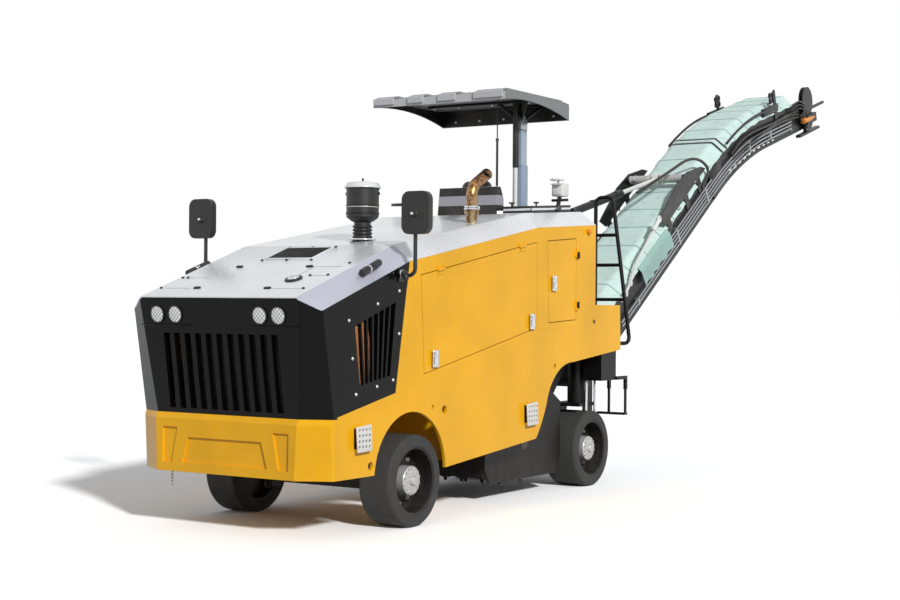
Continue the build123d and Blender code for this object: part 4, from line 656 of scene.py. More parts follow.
class Shop:
    """Makes meshes at their own place with Blender's tools."""

    @staticmethod
    def clear() -> None:
        """Leave nothing selected."""
        if bpy.context.object and bpy.context.object.mode != "OBJECT":
            bpy.ops.object.mode_set(mode="OBJECT")
        bpy.ops.object.select_all(action="DESELECT")

    @staticmethod
    def only(piece: bpy.types.Object) -> None:
        """Select and activate one piece."""
        Shop.clear()
        piece.select_set(True)
        bpy.context.view_layer.objects.active = piece

    @staticmethod
    def settle(name: str) -> bpy.types.Object:
        """Name the active object and put its place into its mesh."""
        piece = bpy.context.object
        piece.name = name
        piece.data.name = name
        bpy.ops.object.transform_apply(location=True, rotation=True, scale=True)
        return piece

    @staticmethod
    def bevel(piece: bpy.types.Object, width: float, segments: int = 2, angle: float = 35.0) -> None:
        """Round the sharp edges of a piece."""
        Shop.only(piece)
        if width <= 0:
            return
        made = piece.modifiers.new("bevel", "BEVEL")
        made.width = width
        made.segments = segments
        made.limit_method = "ANGLE"
        made.angle_limit = math.radians(angle)
        bpy.ops.object.modifier_apply(modifier=made.name)
        bpy.ops.object.shade_smooth_by_angle(angle=math.radians(40))

    @staticmethod
    def block(
        name: str, low: Sequence[float], high: Sequence[float], bevel: float = 0.004
    ) -> bpy.types.Object:
        """Make a rounded block between two corners."""
        Shop.clear()
        low, high = Vector(low), Vector(high)
        bpy.ops.mesh.primitive_cube_add(size=1, location=(low + high) / 2)
        bpy.context.object.scale = high - low
        piece = Shop.settle(name)
        Shop.bevel(piece, min(bevel, min(high - low) * 0.45))
        return piece

    @staticmethod
    def rod(
        name: str, start: Sequence[float], end: Sequence[float], radius: float, sides: int = 20,
        bevel: float = 0.0015
    ) -> bpy.types.Object:
        """Make a round bar between two points with eased ends."""
        Shop.clear()
        start, end = Vector(start), Vector(end)
        run = end - start
        bpy.ops.mesh.primitive_cylinder_add(
            vertices=sides, radius=radius, depth=run.length, location=(start + end) / 2
        )
        bpy.context.object.rotation_euler = run.to_track_quat("Z", "Y").to_euler()
        piece = Shop.settle(name)
        Shop.bevel(piece, min(bevel, radius * 0.4), 2, 60.0)
        return piece

    @staticmethod
    def ring(
        name: str, centre: Sequence[float], axis: Sequence[float], radius: float, thickness: float,
        sides: int = 40
    ) -> bpy.types.Object:
        """Make a round ring about an axis."""
        Shop.clear()
        bpy.ops.mesh.primitive_torus_add(
            location=centre, major_radius=radius, minor_radius=thickness, major_segments=sides,
            minor_segments=10
        )
        bpy.context.object.rotation_euler = Vector(axis).to_track_quat("Z", "Y").to_euler()
        piece = Shop.settle(name)
        Shop.only(piece)
        bpy.ops.object.shade_smooth()
        return piece

    @staticmethod
    def turned(
        name: str, profile: Sequence[tuple[float, float]], centre: Sequence[float], axis: Sequence[float],
        sides: int = 32
    ) -> bpy.types.Object:
        """Spin a profile of (radius, height) about an axis through a centre.

        Args:
            name: Name of the new piece.
            profile: Points from the axis outwards, radius first.
            centre: Where height 0 lies on the axis.
            axis: Direction in which height grows.
            sides: Number of facets round the axis.

        Returns:
            The finished piece.
        """
        Shop.clear()
        bpy.ops.mesh.primitive_circle_add(vertices=3, radius=0.001)
        piece = bpy.context.object
        mesh = bmesh.new()
        points = [mesh.verts.new((radius, 0.0, height)) for radius, height in profile]
        for first, second in zip(points, points[1:]):
            mesh.edges.new((first, second))
        mesh.to_mesh(piece.data)
        mesh.free()
        Shop.only(piece)
        bpy.ops.object.mode_set(mode="EDIT")
        bpy.ops.mesh.select_all(action="SELECT")
        bpy.ops.mesh.spin(steps=sides, angle=math.tau, center=(0, 0, 0), axis=(0, 0, 1))
        bpy.ops.mesh.select_all(action="SELECT")
        bpy.ops.mesh.remove_doubles(threshold=0.00005)
        bpy.ops.mesh.normals_make_consistent(inside=False)
        bpy.ops.object.mode_set(mode="OBJECT")
        piece.location = centre
        piece.rotation_euler = Vector(axis).to_track_quat("Z", "Y").to_euler()
        piece = Shop.settle(name)
        Shop.only(piece)
        bpy.ops.object.shade_smooth_by_angle(angle=math.radians(35))
        return piece

    @staticmethod
    def pipe(
        name: str, points: Sequence[Sequence[float]], radius: float, smooth: bool = True, sides: int = 4
    ) -> bpy.types.Object:
        """Make a round tube along a route, bent smoothly or with straight runs.

        Args:
            name: Name of the new piece.
            points: The route in the row frame.
            radius: Half the tube's thickness.
            smooth: True for a hose, False for a tube with tight bends.
            sides: Bevel resolution of the curve.

        Returns:
            The finished mesh.
        """
        Shop.clear()
        bpy.ops.curve.primitive_nurbs_path_add()
        piece = bpy.context.object
        curve = piece.data
        curve.splines.clear()
        spline = curve.splines.new("NURBS")
        spline.points.add(len(points) - 1)
        for spot, place in zip(spline.points, points):
            spot.co = (*place, 1.0)
        spline.order_u = 3 if smooth else 2
        spline.use_endpoint_u = True
        spline.resolution_u = 6
        curve.dimensions = "3D"
        curve.bevel_depth = radius
        curve.bevel_resolution = sides
        curve.use_fill_caps = True
        piece.location = (0, 0, 0)
        Shop.only(piece)
        bpy.ops.object.convert(target="MESH")
        piece = Shop.settle(name)
        Shop.only(piece)
        bpy.ops.object.shade_smooth_by_angle(angle=math.radians(50))
        return piece

    @staticmethod
    def plate(
        name: str, outline: Sequence[Sequence[float]], thickness: Sequence[float], bevel: float = 0.002
    ) -> bpy.types.Object:
        """Extrude a flat outline by a vector and ease its edges."""
        Shop.clear()
        bpy.ops.mesh.primitive_circle_add(vertices=3, radius=0.001)
        piece = bpy.context.object
        mesh = bmesh.new()
        mesh.faces.new([mesh.verts.new(point) for point in outline])
        mesh.to_mesh(piece.data)
        mesh.free()
        Shop.only(piece)
        bpy.ops.object.mode_set(mode="EDIT")
        bpy.ops.mesh.select_all(action="SELECT")
        bpy.ops.mesh.extrude_region_move(TRANSFORM_OT_translate={"value": tuple(thickness)})
        bpy.ops.mesh.select_all(action="SELECT")
        bpy.ops.mesh.normals_make_consistent(inside=False)
        bpy.ops.object.mode_set(mode="OBJECT")
        piece = Shop.settle(name)
        if bevel:
            Shop.bevel(piece, bevel)
        return piece

    @staticmethod
    def bolt(
        name: str, place: Sequence[float], axis: Sequence[float], size: float = 0.009
    ) -> bpy.types.Object:
        """Make a hexagon head on its washer."""
        place, axis = Vector(place), Vector(axis).normalized()
        washer = Shop.rod(
            name + "_washer", place - axis * 0.001, place + axis * size * 0.25, size * 1.25, 14, 0.0006
        )
        head = Shop.rod(name, place, place + axis * size * 0.95, size, 6, 0.0012)
        return Shop.join(name, [head, washer])

    @staticmethod
    def join(name: str, parts: Sequence[bpy.types.Object]) -> bpy.types.Object:
        """Join pieces of one finish into one object."""
        Shop.clear()
        for part in parts:
            part.select_set(True)
        bpy.context.view_layer.objects.active = parts[0]
        if len(parts) > 1:
            bpy.ops.object.join()
        piece = bpy.context.object
        piece.name = name
        piece.data.name = name
        return piece

    @staticmethod
    def copies(model: bpy.types.Object, places: Iterable[Matrix]) -> list[bpy.types.Object]:
        """Copy a model to other places, each copy with its own mesh.

        Args:
            model: The piece modelled once.
            places: Moves of the model from where it is.

        Returns:
            The copies.
        """
        made = []
        for place in places:
            twin = model.copy()
            twin.data = model.data.copy()
            twin.data.transform(place)
            bpy.context.collection.objects.link(twin)
            made.append(twin)
        return made

    @staticmethod
    def mirrored(model: bpy.types.Object, name: str) -> bpy.types.Object:
        """Copy a piece to the other side of the machine with its faces outwards."""
        twin = Shop.copies(model, [Matrix.Scale(-1, 4, (0, 1, 0))])[0]
        twin.data.flip_normals()
        twin.name = name
        twin.data.name = name
        return twin

    @staticmethod
    def dress(
        piece: bpy.types.Object, finish: FinishKind, body: Body, slot: str | None = None
    ) -> bpy.types.Object:
        """Give a piece its finish and the body it rides on."""
        piece.data.materials.clear()
        piece.data.materials.append(coat(finish))
        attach(piece, body.value)
        LOG.info("made %s", piece.name)
        return piece


def at(x: float, y: float, z: float) -> Vector:
    """Return a point given from the front axle's line, the middle and the ground."""
    return Vector((AXLE_X + x, y, z))


LOW_PITCH, TOP_PITCH = math.radians(33.0), math.radians(15.5)
TAIL_RUN, BEND = 3.79, 5.2
KNEE = (-6.55, 2.775)


def lane(distance: float, y: float, height: float) -> Vector:
    """Return a point on the conveyor.

    Args:
        distance: Metres along the underside from its tail.
        y: Metres left of the middle.
        height: Metres square to the underside.

    Returns:
        The point in the row frame.
    """
    arc = (LOW_PITCH - TOP_PITCH) * BEND
    turned = min(max(distance - TAIL_RUN, 0.0), arc)
    pitch = LOW_PITCH - turned / BEND
    centre = (KNEE[0] - BEND * math.sin(LOW_PITCH), KNEE[1] - BEND * math.cos(LOW_PITCH))
    run = distance - TAIL_RUN - turned
    reach = BEND + height
    return at(
        centre[0] + reach * math.sin(pitch) - run * math.cos(pitch),
        y,
        centre[1] + reach * math.cos(pitch) + run * math.sin(pitch),
    )


# the hood's front slope: its fall for each metre, and the place and height of its front edge
HOOD_SLOPE = 0.34505
HOOD_EDGE = (1.188, 1.630)
HOOD_LEAN = math.atan(HOOD_SLOPE)
HOOD_UP = Vector((math.sin(HOOD_LEAN), 0.0, math.cos(HOOD_LEAN)))


def hood_height(x: float) -> float:
    """Return the height of the hood's front slope over a place x."""
    return HOOD_EDGE[1] + (HOOD_EDGE[0] - x) * HOOD_SLOPE


def on_hood(x: float, y: float, rise: float = 0.0) -> Vector:
    """Return a point square over the hood's front slope."""
    return at(x + rise * math.sin(HOOD_LEAN), y, hood_height(x) + rise * math.cos(HOOD_LEAN))


def turns_about(centre: Vector, count: int) -> list[Matrix]:
    """Return the turns that carry a first piece round an axle to its other places.

    Args:
        centre: A point on the axle, which runs along Y.
        count: How many pieces there are in the ring, with the first.

    Returns:
        One matrix for each further piece.
    """
    spot = Matrix.Translation(centre)
    return [spot @ Matrix.Rotation(math.tau * i / count, 4, "Y") @ spot.inverted() for i in range(1, count)]


# ---------------------------------------------------------------- sub-assemblies


@dataclass
class Solids:
    """The carried-over solids and their finishes."""

    finishes: dict[FinishKind, Sequence[str]] = field(default_factory=lambda: NODE_FINISHES)

    def build(self) -> None:
        """Dress every solid that stays in view."""
        for finish, nodes in self.finishes.items():
            for node in nodes:
                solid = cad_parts[node]
                solid.data.materials.clear()
                solid.data.materials.append(coat(finish))
        LOG.info("dressed %d solids", sum(len(nodes) for nodes in self.finishes.values()))


@dataclass
class Wheels:
    """Bolts on the four wheels."""

    bolt_circle: float = 0.172
    hub_circle: float = 0.090
    bolts: int = 10
    hub_bolts: int = 14
    disc_depth: float = 0.145
    disc_face: float = 0.010
    hub_face: float = 0.119

    def build(self) -> None:
        """Make each wheel's bolts from one model."""
        for side, sign in (("left", 1), ("right", -1)):
            for end, body in (
                ("front", f"WHEEL_FRONT_{side.upper()}"), ("rear", f"WHEEL_REAR_{side.upper()}")
            ):
                low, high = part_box(f"rim_{end}_{side}")
                centre = (low + high) / 2
                outer = high.y if sign > 0 else low.y
                self.ring(f"wheel_bolts_{end}_{side}", centre, outer, sign, Body[body])

    def ring(self, name: str, centre: Vector, outer: float, sign: int, body: Body) -> None:
        """Make the bolts of one wheel.

        Args:
            name: Name of the piece.
            centre: Middle of the rim.
            outer: The rim's outermost Y.
            sign: 1 on the left, -1 on the right.
            body: The wheel's body.
        """
        disc = outer - sign * self.disc_depth + sign * self.disc_face
        hub = outer - sign * self.disc_depth + sign * self.hub_face
        parts = []
        for radius, count, face, size in (
            (self.bolt_circle, self.bolts, disc, 0.016),
            (self.hub_circle, self.hub_bolts, hub, 0.009),
        ):
            model = Shop.bolt(name, (centre.x, face, centre.z + radius), (0, sign, 0), size)
            parts += [model, *Shop.copies(model, turns_about(centre, count))]
        Shop.dress(Shop.join(name, parts), ZINC, body)


@dataclass
class FrontEnd:
    """Headlamps, the ledge under them and the tow chain."""

    lamps: tuple[tuple[float, float], ...] = (
        (-0.545, 1.507), (-0.379, 1.507), (0.372, 1.507), (0.531, 1.507)
    )
    lamp_radius: float = 0.058
    lean: float = 0.1425
    ledge_height: float = 1.432
    foot: tuple[float, float] = (1.07, 0.812)
    chain_top: Point = (0.93, -0.62, 0.405)
    links: int = 5
    link_pitch: float = 0.022

    def face(self, y: float, z: float, out: float = 0.0) -> Vector:
        """Return a point on the front panel's leaning face."""
        return at(self.foot[0] + (z - self.foot[1]) * self.lean, y, z) + self.normal * out

    @property
    def normal(self) -> Vector:
        """The face's outward direction."""
        return Vector((1.0, 0.0, -self.lean)).normalized()

    def build(self) -> None:
        """Make the lamps, the ledge and the chain."""
        glass, rings = [], []
        radius = self.lamp_radius
        for y, z in self.lamps:
            centre = self.face(y, z)
            bowl = [
                (0.0, 0.001), (radius - 0.003, 0.001), (radius - 0.002, 0.008), (radius * 0.7, 0.011),
                (0.0, 0.0125)
            ]
            glass.append(Shop.turned("lamp_glass", bowl, centre, self.normal))
            rim = [
                (radius - 0.003, 0.0),
                (radius + 0.004, 0.0),
                (radius + 0.004, 0.009),
                (radius, 0.0115),
                (radius - 0.004, 0.009),
                (radius - 0.003, 0.0),
            ]
            rings.append(Shop.turned("lamp_rims", rim, centre, self.normal))
        lenses = Shop.dress(Shop.join("lamp_glass", glass), LAMP_FACE, Body.MACHINE, "lamp")
        Shop.dress(Shop.join("lamp_rims", rings), CASE_BLACK, Body.MACHINE, "plastic")
        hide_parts("headlamps")
        parts = []
        for side in (-1, 1):
            low, high = sorted((side * 0.255, side * 0.70))
            start = self.face(0, self.ledge_height)
            parts.append(
                Shop.block(
                    "face_ledge", (start.x - 0.012, low, start.z - 0.004),
                    (start.x + 0.012, high, start.z + 0.004), 0.002
                )
            )
        Shop.dress(Shop.join("face_ledge", parts), BLACK, Body.MACHINE, "black")
        self.chain()

    def chain(self) -> None:
        """Hang a short chain of links under the bumper."""
        top = at(*self.chain_top)
        links = []
        for index in range(self.links):
            centre = top - Vector((0, 0, 0.012 + index * self.link_pitch))
            axis = (1, 0, 0) if index % 2 else (0, 1, 0)
            link = Shop.ring("tow_chain", (0, 0, 0), axis, 0.010, 0.0028, 16)
            link.data.transform(Matrix.Translation(centre) @ Matrix.Diagonal((1, 1, 1.5, 1)))
            links.append(link)
        hook = Shop.block(
            "tow_chain", top - Vector((0.012, 0.006, 0.006)), top + Vector((0.012, 0.006, 0.02)), 0.003
        )
        Shop.dress(Shop.join("tow_chain", [*links, hook]), ZINC, Body.MACHINE, "rim")


@dataclass
class HoodTop:
    """Front hood sheet with its louvre, filler cap, latches and bolts."""

    nose: float = 1.186
    rear: float = 0.0785
    edge: float = 0.69
    half: float = 0.84
    drop: float = 0.118
    sheet: float = 0.012
    vent: tuple[float, float, float, float] = (0.145, 0.385, -0.215, 0.195)
    cap: tuple[float, float] = (0.838, 0.393)
    latches: tuple[tuple[float, float], ...] = ((0.565, -0.332), (0.565, 0.304), (1.02, -0.33), (1.02, 0.30))
    bolts: tuple[tuple[float, float], ...] = (
        (0.80, -0.652), (0.80, -0.602), (1.02, -0.655), (0.755, 0.47), (0.745, 0.615), (1.02, 0.62),
        (0.490, 0.609)
    )

    def build(self) -> None:
        """Make the sheet and what is fitted on it."""
        self.skin()
        self.louvre()
        self.filler()
        self.fittings()

    def corner(self, x: float, y: float) -> Vector:
        """Return a point of the sheet, lower on the side strips."""
        fall = self.drop * max(0.0, abs(y) - self.edge) / (self.half - self.edge)
        return at(x, y, hood_height(x) - fall)

    def skin(self) -> None:
        """Fold the sheet from its top and two side strips."""
        nose, rear, edge, half = self.nose, self.rear, self.edge, self.half
        top = [(nose, -edge), (nose, edge), (rear, edge), (rear, -edge)]
        strip = [(nose, edge), (nose, 0.707), (1.096, half), (rear, half), (rear, edge)]
        other = [(x, -y) for x, y in reversed(strip)]
        Shop.clear()
        bpy.ops.mesh.primitive_circle_add(vertices=3, radius=0.001)
        piece = bpy.context.object
        mesh = bmesh.new()
        for outline in (top, strip, other):
            mesh.faces.new([mesh.verts.new(self.corner(*point)) for point in outline])
        bmesh.ops.remove_doubles(mesh, verts=mesh.verts, dist=0.0001)
        bmesh.ops.recalc_face_normals(mesh, faces=mesh.faces)
        if sum(face.normal.z for face in mesh.faces) < 0:
            bmesh.ops.reverse_faces(mesh, faces=mesh.faces)
        mesh.to_mesh(piece.data)
        mesh.free()
        piece = Shop.settle("hood_sheet")
        Shop.only(piece)
        wall = piece.modifiers.new("wall", "SOLIDIFY")
        wall.thickness = self.sheet
        wall.offset = -1.0
        bpy.ops.object.modifier_apply(modifier=wall.name)
        Shop.bevel(piece, 0.003, 2, 12.0)
        # This coat paints the side strips darker and bluer than the top as painted shade.
        Shop.dress(piece, HOOD_FRONT_SHADED_STRIPS, Body.MACHINE, "hood")
        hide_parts("hood_front")

    def louvre(self) -> None:
        """Make the vent's frame, dark mesh and slats."""
        front, back = self.vent[1], self.vent[0]
        right, left = self.vent[2], self.vent[3]

        def slab(
            name: str, x0: float, x1: float, y0: float, y1: float, low: float, high: float
        ) -> bpy.types.Object:
            """Make a plate over the slope between two heights."""
            outline = [on_hood(x0, y0, low), on_hood(x1, y0, low), on_hood(x1, y1, low), on_hood(x0, y1, low)]
            return Shop.plate(name, outline, HOOD_UP * (high - low), 0.0015)

        Shop.dress(
            slab("vent_mesh", back, front, right, left, -0.002, 0.004), VENT_MESH, Body.MACHINE, "black"
        )
        rim = 0.012
        frame_parts = [
            slab("vent_frame", back - rim, back, right - rim, left + rim, -0.001, 0.010),
            slab("vent_frame", front, front + rim, right - rim, left + rim, -0.001, 0.010),
            slab("vent_frame", back, front, right - rim, right, -0.001, 0.010),
            slab("vent_frame", back, front, left, left + rim, -0.001, 0.010),
        ]
        Shop.dress(Shop.join("vent_frame", frame_parts), SILVER, Body.MACHINE, "hood")
        count = 11
        pitch = (front - back) / count
        slats = [
            slab("vent_slats", back + pitch * (i + 0.2), back + pitch * (i + 0.55), right, left, 0.003, 0.008)
            for i in range(count)
        ]
        Shop.dress(Shop.join("vent_slats", slats), BLACK_SATIN, Body.MACHINE, "black")

    def filler(self) -> None:
        """Make the filler cap with its ring and bridge."""
        spot = on_hood(*self.cap)
        ring = Shop.turned(
            "filler_ring",
            [(0.040, 0.0), (0.062, 0.0), (0.062, 0.012), (0.056, 0.016), (0.044, 0.014), (0.040, 0.0)],
            spot, HOOD_UP
        )
        cap = Shop.turned(
            "filler_cap",
            [(0.0, 0.010), (0.040, 0.010), (0.043, 0.0), (0.043, 0.016), (0.034, 0.024), (0.0, 0.025)],
            spot, HOOD_UP
        )
        side = HOOD_UP.cross(Vector((0, 1, 0))).normalized()
        grip = Shop.plate(
            "filler_grip",
            [
                spot + HOOD_UP * 0.02 + side * a + Vector((0, b, 0))
                for a, b in ((-0.006, -0.03), (0.006, -0.03), (0.006, 0.03), (-0.006, 0.03))
            ],
            HOOD_UP * 0.014,
        )
        Shop.dress(Shop.join("filler_cap", [cap, grip]), CHROME, Body.MACHINE, "hood")
        Shop.dress(ring, CASE_BLACK, Body.MACHINE, "plastic")

    def fittings(self) -> None:
        """Make the latches, bolts, sunk lines and the strip's catch."""
        parts = []
        for x, y in self.latches:
            outline = [
                (x, y - 0.02), (x + 0.014, y - 0.008), (x + 0.014, y + 0.034), (x, y + 0.046),
                (x - 0.014, y + 0.034), (x - 0.014, y - 0.008)
            ]
            parts.append(
                Shop.plate("hood_latches", [on_hood(a, b) for a, b in outline], HOOD_UP * 0.010, 0.002)
            )
        for x, y in (
            *self.bolts, *((self.vent[1] + 0.03, y) for y in (-0.235, -0.01, 0.215)),
            *((self.vent[0] - 0.025, y) for y in (-0.21, 0.0, 0.21))
        ):
            parts.append(Shop.bolt("hood_latches", on_hood(x, y), HOOD_UP, 0.0095))
        Shop.dress(Shop.join("hood_latches", parts), BLACK_SATIN, Body.MACHINE, "black")
        lines = []
        for (x0, y0), (x1, y1) in (
            ((0.80, -0.59), (0.80, -0.40)),
            ((1.02, -0.62), (1.02, -0.38)),
            ((0.565, 0.36), (0.565, 0.60)),
            ((0.755, 0.48), (0.755, 0.60)),
            ((1.02, 0.36), (1.02, 0.60)),
            ((0.565, 0.36), (0.80, 0.36)),
        ):
            lines.append(Shop.rod("hood_lines", on_hood(x0, y0), on_hood(x1, y1), 0.0013, 6, 0.0003))
        Shop.dress(Shop.join("hood_lines", lines), BLACK_SATIN, Body.MACHINE, "black")
        slope = Vector((0, 0.15, -0.118)).normalized()
        out = Vector((0.0, 0.118, 0.15)).normalized()
        for side in (1, -1):
            lower = at(0.600, side * 0.775, hood_height(0.60) - 0.055)
            upper = at(0.375, side * 0.765, hood_height(0.375) - 0.052)
            down = Vector((0, slope.y * side, slope.z))
            lift = Vector((0, out.y * side, out.z)) * 0.026
            body = Shop.rod("strip_catch", lower + lift, upper + lift, 0.026, 20, 0.008)
            feet = [
                Shop.rod("strip_catch", p, p + lift, 0.012, 12, 0.002)
                for p in (lower.lerp(upper, 0.12), lower.lerp(upper, 0.88))
            ]
            band = Shop.rod(
                "strip_catch_band", lower.lerp(upper, 0.36) + lift, lower.lerp(upper, 0.42) + lift, 0.029,
                20, 0.002
            )
            middle = lower.lerp(upper, 0.40) + lift
            bar = Shop.rod("strip_catch_band", middle - down * 0.045, middle + down * 0.03, 0.006, 10, 0.002)
            name = "left" if side > 0 else "right"
            Shop.dress(Shop.join(f"strip_catch_{name}", [body, *feet]), CASE_BLACK, Body.MACHINE, "plastic")
            Shop.dress(Shop.join(f"strip_catch_band_{name}", [band, bar]), CHROME, Body.MACHINE, "hood")


@dataclass
class Tarp:
    """Tarpaulin over the conveyor, drawn over hoops, with skirts over its sides."""

    first: float = 0.895
    last: float = 6.27
    hoop: float = 0.36
    step: float = 0.03
    crown: float = 0.47
    section: tuple[tuple[float, float], ...] = (
        (0.337, 0.338), (0.333, 0.352), (0.312, 0.378), (0.290, 0.404), (0.267, 0.432), (0.245, 0.456),
        (0.232, 0.467), (0.19, 0.4705), (0.13, 0.471), (0.065, 0.4715), (0.0, 0.4715),
    )
    skirt: tuple[float, float, float, float] = (1.70, 2.46, 0.345, 0.170)

    def build(self) -> None:
        """Make the sheet, a strip over each hoop and the two skirts; the strips and skirts are darker as
        painted shade.
        """
        sheet = self.cover()
        hoop_shade_strips = self.hoop_shade_strips()
        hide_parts("conveyor_cover")
        for side, sign in (("left", 1), ("right", -1)):
            flap = self.flap(f"tarp_skirt_{side}", sign)

    def grid(
        self, name: str, rows: Sequence[Sequence[Vector]], thickness: float, finish: FinishKind
    ) -> bpy.types.Object:
        """Skin rows of points into a sheet with a thickness."""
        Shop.clear()
        bpy.ops.mesh.primitive_circle_add(vertices=3, radius=0.001)
        piece = bpy.context.object
        mesh = bmesh.new()
        net = [[mesh.verts.new(point) for point in row] for row in rows]
        for one, two in zip(net, net[1:]):
            for a, b, c, d in zip(one, one[1:], two[1:], two):
                mesh.faces.new((a, b, c, d))
        bmesh.ops.recalc_face_normals(mesh, faces=mesh.faces)
        mesh.to_mesh(piece.data)
        mesh.free()
        piece = Shop.settle(name)
        Shop.only(piece)
        wall = piece.modifiers.new("wall", "SOLIDIFY")
        wall.thickness = thickness
        wall.offset = 0.0
        bpy.ops.object.modifier_apply(modifier=wall.name)
        bpy.ops.object.shade_smooth_by_angle(angle=math.radians(60))
        return Shop.dress(piece, finish, Body.CONVEYOR, "tarp")

    def across(self, distance: float, lift: float = 0.0) -> list[Vector]:
        """Return the cloth's line across the conveyor, sagging between hoops."""
        phase = math.sin(math.pi * ((distance - self.first) % self.hoop) / self.hoop)
        row = []
        for sign in (1, -1):
            half = []
            for index, (y, height) in enumerate(self.section):
                crown = min(1.0, index / 8.0)
                slack = 0.010 * phase * crown
                ripple = noise.noise(Vector((distance * 7.0, sign * y * 9.0, height * 9.0))) * 0.006
                inward = 0.008 * phase if 1 < index < 6 else 0.0
                flutter = 0.006 * math.sin(distance * 23.0 + sign) * (1.0 if index == 0 else 0.0)
                half.append(
                    lane(
                        distance,
                        sign * (y - inward + abs(ripple) * (index < 6) - lift * (index < 6) * -0.7),
                        height - slack - abs(ripple) + flutter + lift
                    )
                )
            row += half if sign > 0 else half[-2::-1]
        return row

    def cover(self) -> bpy.types.Object:
        """Make the main sheet."""
        count = int((self.last - self.first) / self.step)
        rows = [self.across(self.first + (self.last - self.first) * i / count) for i in range(count + 1)]
        return self.grid("tarp_cover", rows, 0.002, TARP_GREEN)

    def hoop_shade_strips(self) -> bpy.types.Object:
        """Make the strip over each hoop, darkened as painted shade."""
        made = []
        place = self.first + self.hoop
        while place < self.last - 0.1:
            rows = [self.across(place + shift, 0.0022) for shift in (-0.008, 0.008)]
            made.append(self.grid("tarp_hoop_shade_strips", rows, 0.0016, TARP_HOOP_SHADE))
            place += self.hoop
        return Shop.dress(Shop.join("tarp_hoop_shade_strips", made), TARP_HOOP_SHADE, Body.CONVEYOR, "tarp")

    def flap(self, name: str, sign: int) -> bpy.types.Object:
        """Make the skirt that hangs over the frame's side, in a darker cloth colour as painted shade."""
        start, end, top, low = self.skirt
        rows = []
        for i in range(31):
            share = i / 30.0
            distance = start + (end - start) * share
            row = []
            for j in range(10):
                drop = j / 9.0
                fold = 0.010 * math.sin(share * 26.0 + drop * 2.0) * drop
                tuck = 0.028 if j == 0 else 0.0
                row.append(
                    lane(
                        distance + 0.02 * drop * math.sin(share * 9.0), sign * (0.374 + fold - tuck),
                        top + (low - top) * drop + tuck
                    )
                )
            rows.append(row)
        return self.grid(name, rows, 0.002, TARP_SKIRT_SHADE)


